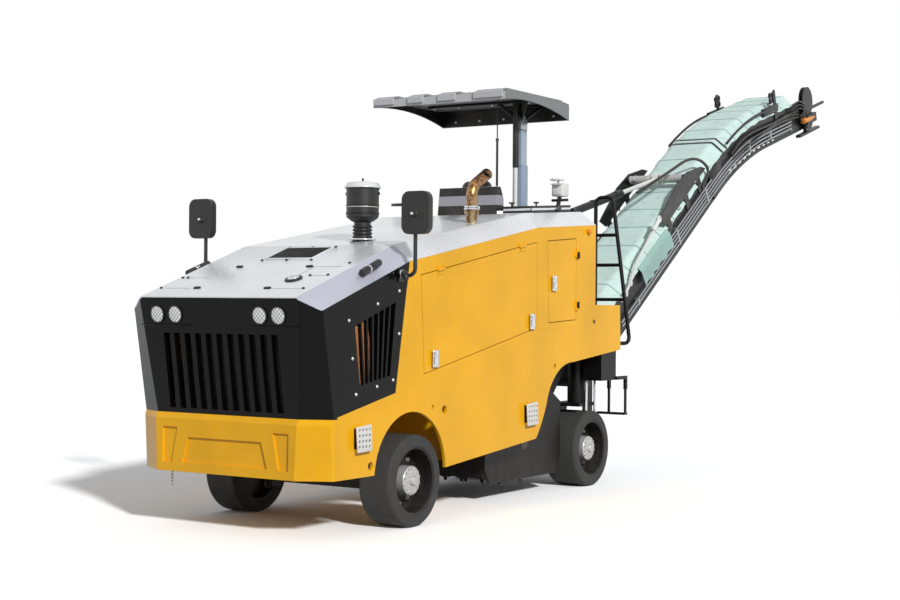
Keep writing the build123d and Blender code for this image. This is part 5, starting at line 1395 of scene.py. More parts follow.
@dataclass
class ConveyorGear:
    """Straps, covers, hoses, head motor, stay, bolts and hooks on the conveyor."""

    side: float = 0.345
    hose: tuple[Point, ...] = (
        (-5.06, 0.10, 2.72), (-5.225, 0.16, 2.815), (-5.53, 0.24, 2.965), (-5.85, 0.30, 3.125),
        (-6.08, 0.345, 3.13), (-6.235, 0.372, 3.04), (-6.16, 0.374, 2.93), (-6.05, 0.372, 2.83)
    )
    prop: tuple[Point, ...] = (
        (-4.985, 0.385, 2.446), (-4.86, 0.385, 2.31), (-4.66, 0.386, 2.165), (-4.50, 0.388, 2.03),
        (-4.40, 0.388, 1.90), (-4.345, 0.386, 1.80), (-4.25, 0.384, 1.70), (-4.173, 0.382, 1.642)
    )

    def build(self) -> None:
        """Make each fitting on the conveyor."""
        self.straps()
        self.boxes()
        self.hoses()
        self.head()
        self.stay()
        self.clips()
        self.hooks()

    def panel(
        self, name: str, start: float, end: float, low: float, high: float, y0: float, y1: float
    ) -> bpy.types.Object:
        """Make a bent plate along the conveyor between two heights."""
        steps = max(1, int((end - start) / 0.12))
        lower = [lane(start + (end - start) * i / steps, y0, low) for i in range(steps + 1)]
        upper = [lane(start + (end - start) * i / steps, y0, high) for i in range(steps, -1, -1)]
        return Shop.plate(name, [*lower, *upper], (0, y1 - y0, 0), 0.003)

    def straps(self) -> None:
        """Lay two straps over the tarpaulin."""
        parts = []
        tarp = Tarp()
        for place in (4.13, 4.24):
            rows = [tarp.across(place + shift, 0.006) for shift in (-0.014, 0.014)]
            parts.append(tarp.grid("tarp_straps", rows, 0.003, HOSE_BLACK))
        Shop.dress(Shop.join("tarp_straps", parts), HOSE_BLACK, Body.CONVEYOR, "plastic")

    def boxes(self) -> None:
        """Make the covers and rail along the left and right sides."""
        parts = []
        for sign in (1, -1):
            y0, y1 = sign * 0.3305, sign * 0.352
            parts.append(self.panel("side_covers", 3.675, 4.01, 0.02, 0.335, y0, y1))
            parts.append(self.panel("side_covers", 5.32, 5.79, 0.362, 0.45, y0 * 0.97, y1))
            route = [
                lane(4.27 + 1.5 * i / 12, sign * self.side, 0.395 + 0.03 * math.sin(math.pi * i / 12))
                for i in range(13)
            ]
            parts.append(Shop.pipe("side_covers", route, 0.014, True, 3))
        Shop.dress(Shop.join("side_covers", parts), CONVEYOR_BLACK, Body.CONVEYOR, "black")

    def hoses(self) -> None:
        """Lead the hydraulic lines over the bracket and along the frame."""
        parts = [Shop.pipe("bracket_hose", [at(*p) for p in self.hose], 0.015)]
        for offset in (0.0, 0.035, 0.07):
            route = (
                [lane(4.3, 0.352, 0.245 - offset)]
                + [
                    lane(
                        s, 0.362 + 0.008 * math.sin(s * 5 + offset * 40),
                        0.27 - offset + 0.02 * math.sin(s * 3.1 + offset * 30)
                    )
                    for s in (4.6, 4.9, 5.2, 5.5, 5.8, 6.1)
                ]
                + [lane(6.4, 0.36, 0.25 - offset)]
            )
            parts.append(Shop.pipe("bracket_hose", route, 0.011))
        Shop.dress(Shop.join("bracket_hose", parts), HOSE_BLACK, Body.CONVEYOR, "plastic")

    def head(self) -> None:
        """Make the orange motor and the hoses at the head."""
        parts = [
            Shop.rod("head_motor", lane(6.46, 0.395, 0.115), lane(6.62, 0.395, 0.115), 0.034, 24, 0.006),
            Shop.rod("head_motor", lane(6.66, 0.395, 0.115), lane(6.80, 0.395, 0.115), 0.028, 24, 0.006),
            Shop.rod("head_motor", lane(6.60, 0.395, 0.115), lane(6.68, 0.395, 0.115), 0.040, 6, 0.004),
        ]
        Shop.dress(Shop.join("head_motor", parts), MOTOR_ORANGE, Body.CONVEYOR, "yellow")
        lines = []
        for j, (low, high) in enumerate(((0.10, 0.30), (0.14, 0.34), (0.18, 0.38))):
            route = [
                lane(6.15, 0.36, high - 0.05), lane(6.3, 0.385, high), lane(6.45, 0.398, high - 0.02),
                lane(6.55, 0.398, (low + high) / 2), lane(6.5, 0.39, low + 0.03), lane(6.42, 0.37, low)
            ]
            lines.append(Shop.pipe("head_hoses", route, 0.009 + 0.001 * j))
        Shop.dress(Shop.join("head_hoses", lines), HOSE_BLACK, Body.CONVEYOR, "plastic")

    def stay(self) -> None:
        """Make the pale prop beside the bracket's eye."""
        points = [at(*p) for p in self.prop]
        parts = [Shop.pipe("side_stay", points, 0.013)]
        parts.append(Shop.rod("side_stay", points[0], points[0].lerp(points[2], 0.42), 0.022, 20, 0.004))
        for index, size in ((5, 0.03), (6, 0.034), (7, 0.028)):
            parts.append(
                Shop.rod(
                    "side_stay", points[index] - Vector((0, 0.012, 0)),
                    points[index] + Vector((0, 0.014, 0)), size, 10, 0.004
                )
            )
        parts.append(Shop.ring("side_stay", points[0], (0, 1, 0), 0.028, 0.011, 24))
        Shop.dress(Shop.join("side_stay", parts), WHITE, Body.CONVEYOR, "hood")

    def hooks(self) -> None:
        """Make the lifting hooks on the four ears and the clamps on the cross tube."""
        parts = []
        for sign in (1, -1):
            for place in (5.59, 5.68):
                parts.append(
                    Shop.ring("ear_hooks", lane(place, sign * 0.337, 0.565), (0, 1, 0), 0.026, 0.011, 24)
                )
                parts.append(
                    Shop.block(
                        "ear_hooks", lane(place, sign * 0.337, 0.50) - Vector((0.022, 0.014, 0.03)),
                        lane(place, sign * 0.337, 0.50) + Vector((0.022, 0.014, 0.03)), 0.006
                    )
                )
        Shop.dress(Shop.join("ear_hooks", parts), CONVEYOR_BLACK, Body.CONVEYOR, "black")
        bands = [
            Shop.rod(
                "tube_clamps", lane(3.175, y - 0.012, 0.560), lane(3.175, y + 0.012, 0.560), 0.047, 28,
                0.003
            )
            for y in (-0.24, -0.09, 0.09, 0.24)
        ]
        Shop.dress(Shop.join("tube_clamps", bands), ZINC, Body.CONVEYOR, "hood")

    def clips(self) -> None:
        """Put bolts along both sides."""
        model = []
        for sign in (1, -1):
            for place in (2.62, 2.86, 3.10, 3.34):
                spot = lane(place, sign * 0.3425, 0.36 + (place - 2.62) * 0.09)
                model.append(Shop.bolt("frame_bolts", spot, (0, sign, 0), 0.011))
            for place in (0.5, 1.2, 5.0, 5.6, 6.2):
                model.append(Shop.bolt("frame_bolts", lane(place, sign * 0.331, 0.06), (0, sign, 0), 0.010))
        Shop.dress(Shop.join("frame_bolts", model), ZINC, Body.CONVEYOR, "rim")


@dataclass
class SideFittings:
    """Latches, hinges, steps and bolts on the body's sides."""

    wall: float = 0.858
    skin: float = 0.84

    def build(self) -> None:
        """Make each side's fittings, the right one mirrored."""
        for name, finish, body, slot, parts in (
            (
                "engine_latch", CHROME, Body.ENGINE_DOOR_LEFT, "rim",
                [self.latch(-0.226, 1.196), self.latch(-1.634, 1.455)]
            ),
            ("tank_latch", CHROME, Body.TANK_DOOR_LEFT, "rim", [self.latch(-1.996, 1.766)]),
            (
                "tank_hinges", BLACK_SATIN, Body.MACHINE, "black",
                [self.hinge(-2.407, 2.007), self.hinge(-2.407, 1.589)]
            ),
            ("side_steps", WHITE, Body.MACHINE, "hood", [self.step(0.67, 0.68), self.step(-1.615, 0.72)]),
            (
                "step_brackets", BLACK_SATIN, Body.MACHINE, "black",
                [self.bracket(0.67, 0.68), self.bracket(-1.615, 0.72)]
            ),
            ("grille_bolts", ZINC, Body.MACHINE, "rim", self.grille_bolts()),
            ("side_plugs", CASE_BLACK, Body.MACHINE, "black", self.plugs()),
            ("lifting_lug", MOTOR_ORANGE, Body.MACHINE, "yellow", self.lug()),
        ):
            piece = Shop.join(name + "_left", parts)
            twin = Shop.mirrored(piece, name + "_right")
            Shop.dress(piece, finish, body, slot)
            Shop.dress(twin, finish, Body[body.name.replace("LEFT", "RIGHT")], slot)

    def latch(self, x: float, z: float) -> bpy.types.Object:
        """Make a paddle latch: dished plate, frame and paddle."""
        y = self.wall
        plate = Shop.block(
            "latch", at(x - 0.038, y - 0.002, z - 0.062), at(x + 0.038, y + 0.006, z + 0.062), 0.004
        )
        Shop.only(plate)
        bpy.ops.object.mode_set(mode="EDIT")
        bpy.ops.mesh.select_all(action="DESELECT")
        bpy.ops.object.mode_set(mode="OBJECT")
        for face in plate.data.polygons:
            face.select = face.normal.y > 0.99 and face.area > 0.003
        bpy.ops.object.mode_set(mode="EDIT")
        bpy.ops.mesh.inset(thickness=0.010, depth=-0.005)
        bpy.ops.object.mode_set(mode="OBJECT")
        paddle = Shop.block(
            "latch", at(x - 0.022, y + 0.001, z - 0.040), at(x + 0.022, y + 0.012, z + 0.018), 0.004
        )
        lock = Shop.rod("latch", at(x, y + 0.001, z + 0.034), at(x, y + 0.011, z + 0.034), 0.010, 20, 0.002)
        return Shop.join("latch", [plate, paddle, lock])

    def hinge(self, x: float, z: float) -> bpy.types.Object:
        """Make a small knuckle hinge."""
        leaf = Shop.block(
            "hinge", at(x - 0.022, self.skin - 0.001, z - 0.024),
            at(x + 0.018, self.skin + 0.020, z + 0.024), 0.003
        )
        pin = Shop.rod(
            "hinge", at(x, self.skin + 0.020, z - 0.03), at(x, self.skin + 0.020, z + 0.03), 0.008, 14
        )
        return Shop.join("hinge", [leaf, pin])

    def step(self, x: float, z: float) -> bpy.types.Object:
        """Make a pale step plate pierced by rows of holes."""
        y = 0.872
        outline = [(-0.088, -0.088), (0.078, -0.094), (0.094, 0.080), (-0.078, 0.094)]
        plate = Shop.plate("step", [at(x + a, y, z + b) for a, b in outline], (0, 0.010, 0), 0.004)
        cutters = []
        for i in range(4):
            for j in range(4):
                spot = at(x - 0.056 + i * 0.038, y, z - 0.056 + j * 0.038)
                cutters.append(
                    Shop.rod(
                        "step_hole", spot - Vector((0, 0.02, 0)), spot + Vector((0, 0.03, 0)), 0.0105, 12,
                        0.0
                    )
                )
        cutter = Shop.join("step_hole", cutters)
        Shop.only(plate)
        cut = plate.modifiers.new("holes", "BOOLEAN")
        cut.object = cutter
        cut.operation = "DIFFERENCE"
        cut.solver = "EXACT"
        bpy.ops.object.modifier_apply(modifier=cut.name)
        bpy.data.objects.remove(cutter)
        return plate

    def bracket(self, x: float, z: float) -> bpy.types.Object:
        """Make the dark pocket and two arms behind a step."""
        back = Shop.block(
            "step_bracket", at(x - 0.07, self.skin - 0.001, z - 0.07),
            at(x + 0.07, self.skin + 0.004, z + 0.07), 0.002
        )
        arms = [
            Shop.block(
                "step_bracket", at(x + a - 0.008, self.skin, z - 0.03), at(x + a + 0.008, 0.874, z + 0.03),
                0.002
            )
            for a in (-0.06, 0.06)
        ]
        return Shop.join("step_bracket", [back, *arms])

    def grille_bolts(self) -> list[bpy.types.Object]:
        """Make the dome bolts round the side grille."""
        spots = (
            (0.806, 1.477), (0.475, 1.590), (0.216, 1.682), (0.216, 1.382), (0.285, 1.060), (0.477, 1.022),
            (0.720, 0.978), (0.763, 1.221)
        )
        dome = [(0.0, 0.010), (0.006, 0.009), (0.011, 0.005), (0.013, 0.0), (0.0, 0.0)]
        return [Shop.turned("grille_bolt", dome, at(x, self.skin, z), (0, 1, 0), 16) for x, z in spots]

    def plugs(self) -> list[bpy.types.Object]:
        """Make the small sunk plugs in the side."""
        ring = [(0.0, 0.001), (0.013, 0.001), (0.016, 0.003), (0.016, 0.0), (0.0, 0.0)]
        return [
            Shop.turned("side_plug", ring, at(x, self.skin, z), (0, 1, 0), 20)
            for x, z in ((-2.727, 1.448),)
        ]

    def lug(self) -> list[bpy.types.Object]:
        """Make the small lug near the rear top corner."""
        return [Shop.rod("lug", at(-2.60, 0.842, 2.215), at(-2.60, 0.872, 2.215), 0.022, 20, 0.003)]


@dataclass
class Hubs:
    """Bright stub hubs in the dark rims."""

    depth: float = 0.145
    bolts: int = 8
    bolt_out: float = 0.125
    bolt_circle: float = 0.055
    profile: tuple[tuple[float, float], ...] = (
        (0.0, 0.146), (0.028, 0.146), (0.033, 0.140), (0.036, 0.126), (0.070, 0.124), (0.101, 0.120),
        (0.106, 0.114), (0.106, 0.002), (0.0, 0.002)
    )

    def build(self) -> None:
        """Make a hub on each wheel."""
        for side, sign in (("left", 1), ("right", -1)):
            for end in ("front", "rear"):
                low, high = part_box(f"rim_{end}_{side}")
                centre = (low + high) / 2
                centre.y = (high.y if sign > 0 else low.y) - sign * self.depth
                hub = Shop.turned(f"hub_{end}_{side}", self.profile, centre, (0, sign, 0), 48)
                first = centre + Vector((0, sign * self.bolt_out, self.bolt_circle))
                model = Shop.bolt("hub_bolt", first, (0, sign, 0), 0.007)
                parts = [hub, model, *Shop.copies(model, turns_about(centre, self.bolts))]
                Shop.dress(
                    Shop.join(f"hub_{end}_{side}", parts), HUB_STEEL,
                    Body[f"WHEEL_{end.upper()}_{side.upper()}"], "rim"
                )


@dataclass
class AirCleaner:
    """Bands, clips, flange, bellows and rain cap of the air cleaner."""

    x: float = -0.175
    y: float = 0.233
    top: float = 2.452
    radius: float = 0.122

    def build(self) -> None:
        """Make the fittings round the canister."""
        foot = at(self.x, self.y, 0.0)
        up = (0, 0, 1)
        reach = self.radius
        cap = Shop.turned(
            "cleaner_cap",
            [
                (0.0, self.top - 0.002), (reach + 0.014, self.top - 0.006), (reach + 0.015, self.top),
                (0.113, self.top + 0.034), (0.030, self.top + 0.047), (0.0, self.top + 0.049)
            ],
            foot, up, 48,
        )
        Shop.dress(cap, SILVER, Body.MACHINE, "hood")
        dark = [
            Shop.turned(
                "cleaner_knob",
                [(0.0, 2.52), (0.007, 2.519), (0.010, 2.512), (0.006, 2.505), (0.006, 2.485), (0.0, 2.485)],
                foot, up, 16
            ),
            Shop.turned(
                "cleaner_knob",
                [(reach, 2.435), (reach + 0.004, 2.437), (reach + 0.004, 2.447), (reach, 2.449)], foot, up,
                48
            )
        ]
        for level in (2.252, 2.262, 2.318):
            dark.append(
                Shop.ring("cleaner_knob", foot + Vector((0, 0, level)), up, reach + 0.001, 0.0032, 48)
            )
        for level in (2.085, 2.110, 2.135, 2.160):
            dark.append(Shop.ring("cleaner_knob", foot + Vector((0, 0, level)), up, 0.064, 0.010, 40))
        for angle in (20, 110, 200, 290):
            out = Vector((math.cos(math.radians(angle)), math.sin(math.radians(angle)), 0))
            dark.append(
                Shop.rod(
                    "cleaner_knob", foot + out * reach + Vector((0, 0, 2.405)),
                    foot + out * (reach + 0.010) + Vector((0, 0, 2.405)), 0.010, 12
                )
            )
        Shop.dress(Shop.join("cleaner_knob", dark), CASE_BLACK, Body.MACHINE, "plastic")
        flange = Shop.turned(
            "cleaner_flange",
            [
                (0.060, 2.060), (0.102, 2.060), (0.104, 2.064), (0.102, 2.070), (0.075, 2.078),
                (0.060, 2.078), (0.060, 2.060)
            ],
            foot, up, 48
        )
        Shop.dress(flange, CHROME, Body.MACHINE, "hood")
        band = Shop.turned(
            "cleaner_band",
            [
                (reach - 0.001, 2.300), (reach + 0.0025, 2.301), (reach + 0.0025, 2.307),
                (reach - 0.001, 2.308)
            ],
            foot, up, 48
        )
        Shop.dress(band, ZINC, Body.MACHINE, "hood")


@dataclass
class Mirrors:
    """Glass, clamps and bright caps of the two mirrors."""

    y: float = 0.987
    z: float = 2.226

    def build(self) -> None:
        """Make the left mirror's pieces and mirror them."""
        glass = Shop.plate("mirror_glass_left", self.shape(0.096, 0.128, 0.05, 0.1735), (-0.003, 0, 0), 0.001)
        ball = Shop.turned(
            "mirror_clamp_left",
            [(0.0, 0.030), (0.012, 0.028), (0.020, 0.018), (0.022, 0.006), (0.030, 0.0), (0.0, 0.0)],
            at(0.244, self.y - 0.01, 2.215), (1, 0, 0), 24
        )
        foot = Shop.rod(
            "mirror_clamp_left", at(0.225, 0.835, 1.800), at(0.225, 0.905, 1.800), 0.024, 18, 0.004
        )
        collar = Shop.rod(
            "mirror_clamp_left", at(0.225, 0.90, 1.760), at(0.225, 0.90, 1.795), 0.022, 18, 0.004
        )
        black = Shop.join("mirror_clamp_left", [ball, foot, collar])
        shine = Shop.turned(
            "mirror_cap_left", [(0.0, 0.006), (0.008, 0.005), (0.0115, 0.0), (0.0, 0.0)],
            at(0.273, self.y - 0.01, 2.219), (1, 0, 0), 20
        )
        band = Shop.rod("mirror_cap_left", at(0.225, 0.862, 1.800), at(0.225, 0.874, 1.800), 0.027, 18, 0.002)
        silver = Shop.join("mirror_cap_left", [shine, band])
        for piece, finish, slot in (
            (glass, MIRROR, "lamp"), (black, CASE_BLACK, "plastic"), (silver, CHROME, "hood")
        ):
            twin = Shop.mirrored(piece, piece.name.replace("left", "right"))
            for made in (piece, twin):
                Shop.dress(made, finish, Body.MACHINE, slot)

    def shape(self, half_y: float, half_z: float, corner: float, x: float) -> list[Vector]:
        """Return a rounded rectangle facing backwards."""
        points = []
        for sy, sz, start in ((1, 1, 0), (-1, 1, 90), (-1, -1, 180), (1, -1, 270)):
            for step in range(6):
                angle = math.radians(start + 18 * step)
                points.append(
                    at(
                        x, self.y + sy * (half_y - corner) + corner * math.cos(angle),
                        self.z + sz * (half_z - corner) + corner * math.sin(angle)
                    )
                )
        return points


@dataclass
class Seat:
    """Padded cushion and back of the operator's seat."""

    y0: float = -0.575
    y1: float = -0.225
    cap: float = 0.022
    voxel: float = 0.0065
    pressure: float = 4.0
    frames: int = 20

    def build(self) -> None:
        """Make both pads and let them swell."""
        base = self.pad(
            "seat_cushion",
            self.rounded(-2.665, -2.315, self.y0 + 0.01, self.y1 - 0.01, 0.06), "Z"
        )
        back = self.pad(
            "seat_back",
            self.rounded(self.y0 + 0.012, self.y1 - 0.012, 2.14, 2.715, 0.07), "X"
        )
        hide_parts("seat")
        for piece in (base, back):
            Shop.dress(piece, SEAT_HIDE, Body.MACHINE, "seat")
        shell = Shop.plate(
            "seat_shell",
            [
                at(-2.79 - (z - 2.05) * 0.108, y, z)
                for y, z in self.rounded(self.y0 + 0.02, self.y1 - 0.02, 2.05, 2.66, 0.06)
            ],
            (-0.012, 0, 0), 0.003
        )
        pan = Shop.block(
            "seat_shell", at(-2.80, self.y0 + 0.03, 2.010), at(-2.33, self.y1 - 0.03, 2.030), 0.006
        )
        Shop.dress(Shop.join("seat_shell", [shell, pan]), CASE_BLACK, Body.MACHINE, "plastic")

    def rounded(self, a0: float, a1: float, b0: float, b1: float, corner: float) -> list[tuple[float, float]]:
        """Return a rectangle with rounded corners."""
        points = []
        for a, b, start in ((a1, b1, 0), (a0, b1, 90), (a0, b0, 180), (a1, b0, 270)):
            for step in range(6):
                angle = math.radians(start + 18 * step)
                ca, cb = a + (corner if a == a0 else -corner), b + (corner if b == b0 else -corner)
                points.append((ca + corner * math.cos(angle), cb + corner * math.sin(angle)))
        return points

    def pad(self, name: str, outline: Sequence[tuple[float, float]], axis: str) -> bpy.types.Object:
        """Extrude a pad and swell it as cloth under pressure.

        Args:
            name: Name of the piece.
            outline: Its outline, seen along its thickness.
            axis: Axis of its thickness.

        Returns:
            The swollen pad.
        """
        if axis == "Z":
            piece = Shop.plate(name, [at(x, y, 2.034) for x, y in outline], (0, 0, 0.062), 0.018)
        else:
            piece = Shop.plate(
                name, [at(-2.722 - (z - 2.14) * 0.108, y, z) for y, z in outline], (-0.052, 0, 0), 0.018
            )
        Shop.only(piece)
        remesh = piece.modifiers.new("remesh", "REMESH")
        remesh.mode = "VOXEL"
        remesh.voxel_size = self.voxel
        bpy.ops.object.modifier_apply(modifier=remesh.name)
        rest = [vertex.co.copy() for vertex in piece.data.vertices]
        cloth = piece.modifiers.new("cloth", "CLOTH")
        cloth.settings.use_pressure = True
        cloth.settings.uniform_pressure_force = self.pressure
        cloth.settings.effector_weights.gravity = 0.0
        scene = bpy.context.scene
        for step in range(1, self.frames + 1):
            scene.frame_set(step)
        bpy.ops.object.modifier_apply(modifier=cloth.name)
        for vertex, start in zip(piece.data.vertices, rest):
            move = vertex.co - start
            if move.length > self.cap:
                vertex.co = start + move * (self.cap / move.length)
        scene.frame_set(1)
        smooth = piece.modifiers.new("smooth", "SUBSURF")
        smooth.levels = smooth.render_levels = 1
        bpy.ops.object.modifier_apply(modifier=smooth.name)
        bpy.ops.object.shade_smooth()
        return piece


@dataclass
class UpperFittings:
    """Exhaust clamp, work lamp, cover strip, mast fittings and hoist bands."""

    def build(self) -> None:
        """Make the fittings on top of the machine."""
        self.exhaust()
        self.lamp()
        self.cover()
        self.mast()
        self.hoist()

    def exhaust(self) -> None:
        """Make the clamp and the dark mouth of the exhaust."""
        foot = at(-1.213, 0.540, 0.0)
        clamp = [
            Shop.turned(
                "exhaust_clamp",
                [
                    (0.046, 2.332), (0.062, 2.334), (0.062, 2.344), (0.052, 2.348), (0.062, 2.352),
                    (0.062, 2.362), (0.046, 2.364)
                ],
                foot, (0, 0, 1), 40
            ),
            Shop.bolt("exhaust_clamp", at(-1.213, 0.602, 2.348), (0, 1, 0), 0.010)
        ]
        Shop.dress(Shop.join("exhaust_clamp", clamp), CHROME, Body.MACHINE, "hood")
        run = Vector((-0.883, 0.0, 0.469))
        face = Vector((-0.40, 0.55, 0.73)).normalized()
        along = (run - face * run.dot(face)).normalized()
        side = face.cross(along)
        centre = at(-1.4445, 0.540, 2.635) - run * 0.035 + face * 0.012
        rim = [
            centre + along * 0.078 * math.cos(math.tau * i / 28)
            + side * 0.047 * math.sin(math.tau * i / 28)
            for i in range(28)
        ]
        Shop.dress(Shop.plate("exhaust_mouth", rim, face * 0.010, 0.002), CASE_BLACK, Body.MACHINE, "black")

    def lamp(self) -> None:
        """Make the pale work lamp on its bracket."""
        body = Shop.block("work_lamp", at(-2.455, 0.625, 2.505), at(-2.345, 0.735, 2.615), 0.010)
        hood = Shop.plate(
            "work_lamp",
            [
                at(x, y, z)
                for x, y, z in (
                    (-2.35, 0.63, 2.612), (-2.31, 0.63, 2.600), (-2.31, 0.73, 2.600), (-2.35, 0.73, 2.612)
                )
            ],
            (0, 0, 0.004), 0.001
        )
        arm = Shop.block("work_lamp", at(-2.44, 0.60, 2.640), at(-2.36, 0.70, 2.655), 0.003)
        post = Shop.rod("work_lamp", at(-2.40, 0.66, 2.61), at(-2.40, 0.66, 2.645), 0.010, 12)
        Shop.dress(Shop.join("work_lamp", [body, hood, arm, post]), WHITE, Body.MACHINE, "hood")
        face = Shop.block("work_lamp_face", at(-2.346, 0.637, 2.517), at(-2.339, 0.723, 2.603), 0.004)
        Shop.dress(face, WHITE, Body.MACHINE, "hood")
        parts = [
            Shop.rod("lamp_bracket", at(-2.40, 0.66, 2.340), at(-2.40, 0.66, 2.430), 0.026, 20, 0.004),
            Shop.rod("lamp_bracket", at(-2.40, 0.66, 2.425), at(-2.40, 0.675, 2.508), 0.018, 20, 0.004),
            Shop.block("lamp_bracket", at(-2.43, 0.63, 2.470), at(-2.37, 0.73, 2.482), 0.003),
            Shop.rod("lamp_bracket", at(-2.40, 0.60, 2.475), at(-2.40, 0.755, 2.475), 0.012, 12, 0.002),
            Shop.rod("lamp_bracket", at(-2.44, 0.665, 2.39), at(-2.34, 0.665, 2.39), 0.014, 12, 0.002),
            Shop.rod("lamp_bracket", at(-2.425, 0.60, 2.652), at(-2.425, 0.585, 2.652), 0.012, 12, 0.002),
        ]
        Shop.dress(Shop.join("lamp_bracket", parts), CASE_BLACK, Body.MACHINE, "plastic")

    def cover(self) -> None:
        """Make the bright strip along the tank cover and the catches behind it."""

        def top(x: float) -> float:
            """Return the height of the rear hood over a place x."""
            return 2.330 + (-1.755 - x) * 0.06533

        strip = Shop.plate(
            "cover_strip",
            [
                at(-1.94, 0.665, top(-1.94) + 0.022), at(-2.61, 0.665, top(-2.61) + 0.022),
                at(-2.61, 0.665, top(-2.61) + 0.040), at(-1.94, 0.665, top(-1.94) + 0.040)
            ],
            (0, 0.003, 0), 0.001
        )
        front = Shop.block(
            "cover_strip", at(-1.936, 0.40, top(-1.94) + 0.022), at(-1.932, 0.66, top(-1.94) + 0.040), 0.001
        )
        Shop.dress(Shop.join("cover_strip", [strip, front]), SILVER, Body.MACHINE, "hood")
        parts = []
        for x, y in ((-2.66, 0.60), (-2.70, 0.52), (-2.68, 0.66)):
            parts.append(
                Shop.rod(
                    "rear_catches", at(x - 0.03, y, top(x) + 0.018), at(x + 0.03, y, top(x) + 0.018), 0.016,
                    14, 0.004
                )
            )
            parts.append(
                Shop.rod(
                    "rear_catches", at(x, y, top(x) - 0.005), at(x, y, top(x) + 0.03), 0.010, 12, 0.002
                )
            )
        Shop.dress(Shop.join("rear_catches", parts), CASE_BLACK, Body.MACHINE, "plastic")

    def mast(self) -> None:
        """Make the collar, gussets and bolts under the canopy, and the guide's knob."""
        collar = Shop.block("mast_collar", at(-2.396, 0.281, 3.085), at(-2.294, 0.359, 3.150), 0.004)
        Shop.dress(collar, SILVER, Body.CANOPY, "mast")
        parts = [
            Shop.rod("canopy_gussets", at(-2.36, 0.32, 3.16), at(-2.50, 0.20, 3.30), 0.016, 12),
            Shop.rod("canopy_gussets", at(-2.33, 0.32, 3.16), at(-2.16, 0.20, 3.30), 0.016, 12),
            Shop.rod("canopy_gussets", at(-2.33, 0.33, 3.16), at(-2.16, 0.48, 3.30), 0.016, 12),
            Shop.rod("canopy_gussets", at(-2.36, 0.33, 3.16), at(-2.50, 0.46, 3.30), 0.016, 12),
            Shop.block("canopy_gussets", at(-2.53, 0.10, 3.288), at(-2.47, 0.56, 3.308), 0.003),
            Shop.block("canopy_gussets", at(-2.20, -0.50, 3.288), at(-2.14, 0.56, 3.308), 0.003),
        ]
        Shop.dress(Shop.join("canopy_gussets", parts), BLACK_SATIN, Body.CANOPY, "black")
        bolts = [
            Shop.bolt("canopy_bolts", at(x, y, 3.288), (0, 0, -1), 0.010)
            for x, y in (
                (-2.5, 0.16), (-2.5, 0.5), (-2.17, 0.5), (-2.17, 0.14), (-2.17, -0.2), (-2.17, -0.45)
            )
        ]
        bolts += [
            Shop.bolt("canopy_bolts", at(-2.599, y, 3.22), (1, 0, 0), 0.009)
            for y in (-0.5, -0.25, 0.0, 0.25, 0.5)
        ]
        Shop.dress(Shop.join("canopy_bolts", bolts), ZINC, Body.CANOPY, "rim")
        knob = Shop.turned(
            "guide_knob", [(0.0, 0.0), (0.012, 0.0), (0.015, 0.008), (0.012, 0.020), (0.0, 0.022)],
            at(-2.042, 0.270, 2.965), (0, 0, 1), 16
        )
        Shop.dress(knob, CASE_BLACK, Body.MACHINE, "plastic")

    def hoist(self) -> None:
        """Make the bands of the hoist cylinder."""
        low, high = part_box("hoist_barrel")
        nose, tail = Vector((low.x + 0.02, 0, high.z - 0.038)), Vector((high.x - 0.02, 0, low.z + 0.038))
        run = (nose - tail).normalized()
        parts = [
            Shop.rod("hoist_bands", tail + run * d, tail + run * (d + 0.03), 0.0405, 28, 0.003)
            for d in (0.10, 0.62, 1.12)
        ]
        Shop.dress(Shop.join("hoist_bands", parts), BLACK_SATIN, Body.HOIST_BARREL, "black")


@dataclass
class RearFittings:
    """Height scale rods on the leg columns, and a near-black sheet behind the front grille that paints the
    shade in its slots.
    """

    def build(self) -> None:
        """Make the rear fittings and the painted shade sheet."""
        rods = []
        for sign in (1, -1):
            rods.append(
                Shop.rod(
                    "leg_scale", at(-3.125, sign * 0.645, 0.62), at(-3.125, sign * 0.645, 0.93), 0.011, 14
                )
            )
            rods.append(
                Shop.rod(
                    "leg_scale", at(-2.97, sign * 0.640, 0.66), at(-2.97, sign * 0.640, 0.96), 0.014, 14
                )
            )
        Shop.dress(Shop.join("leg_scale", rods), CHROME, Body.MACHINE, "hood")
        # Painted shade: a near-black sheet behind the slots hides the core and the frame there.
        screen = Shop.block("slot_shade_sheet", at(0.862, -0.60, 0.80), at(0.868, 0.60, 1.45), 0.002)
        Shop.dress(screen, SLOT_SHADE_SHEET, Body.MACHINE, "black")


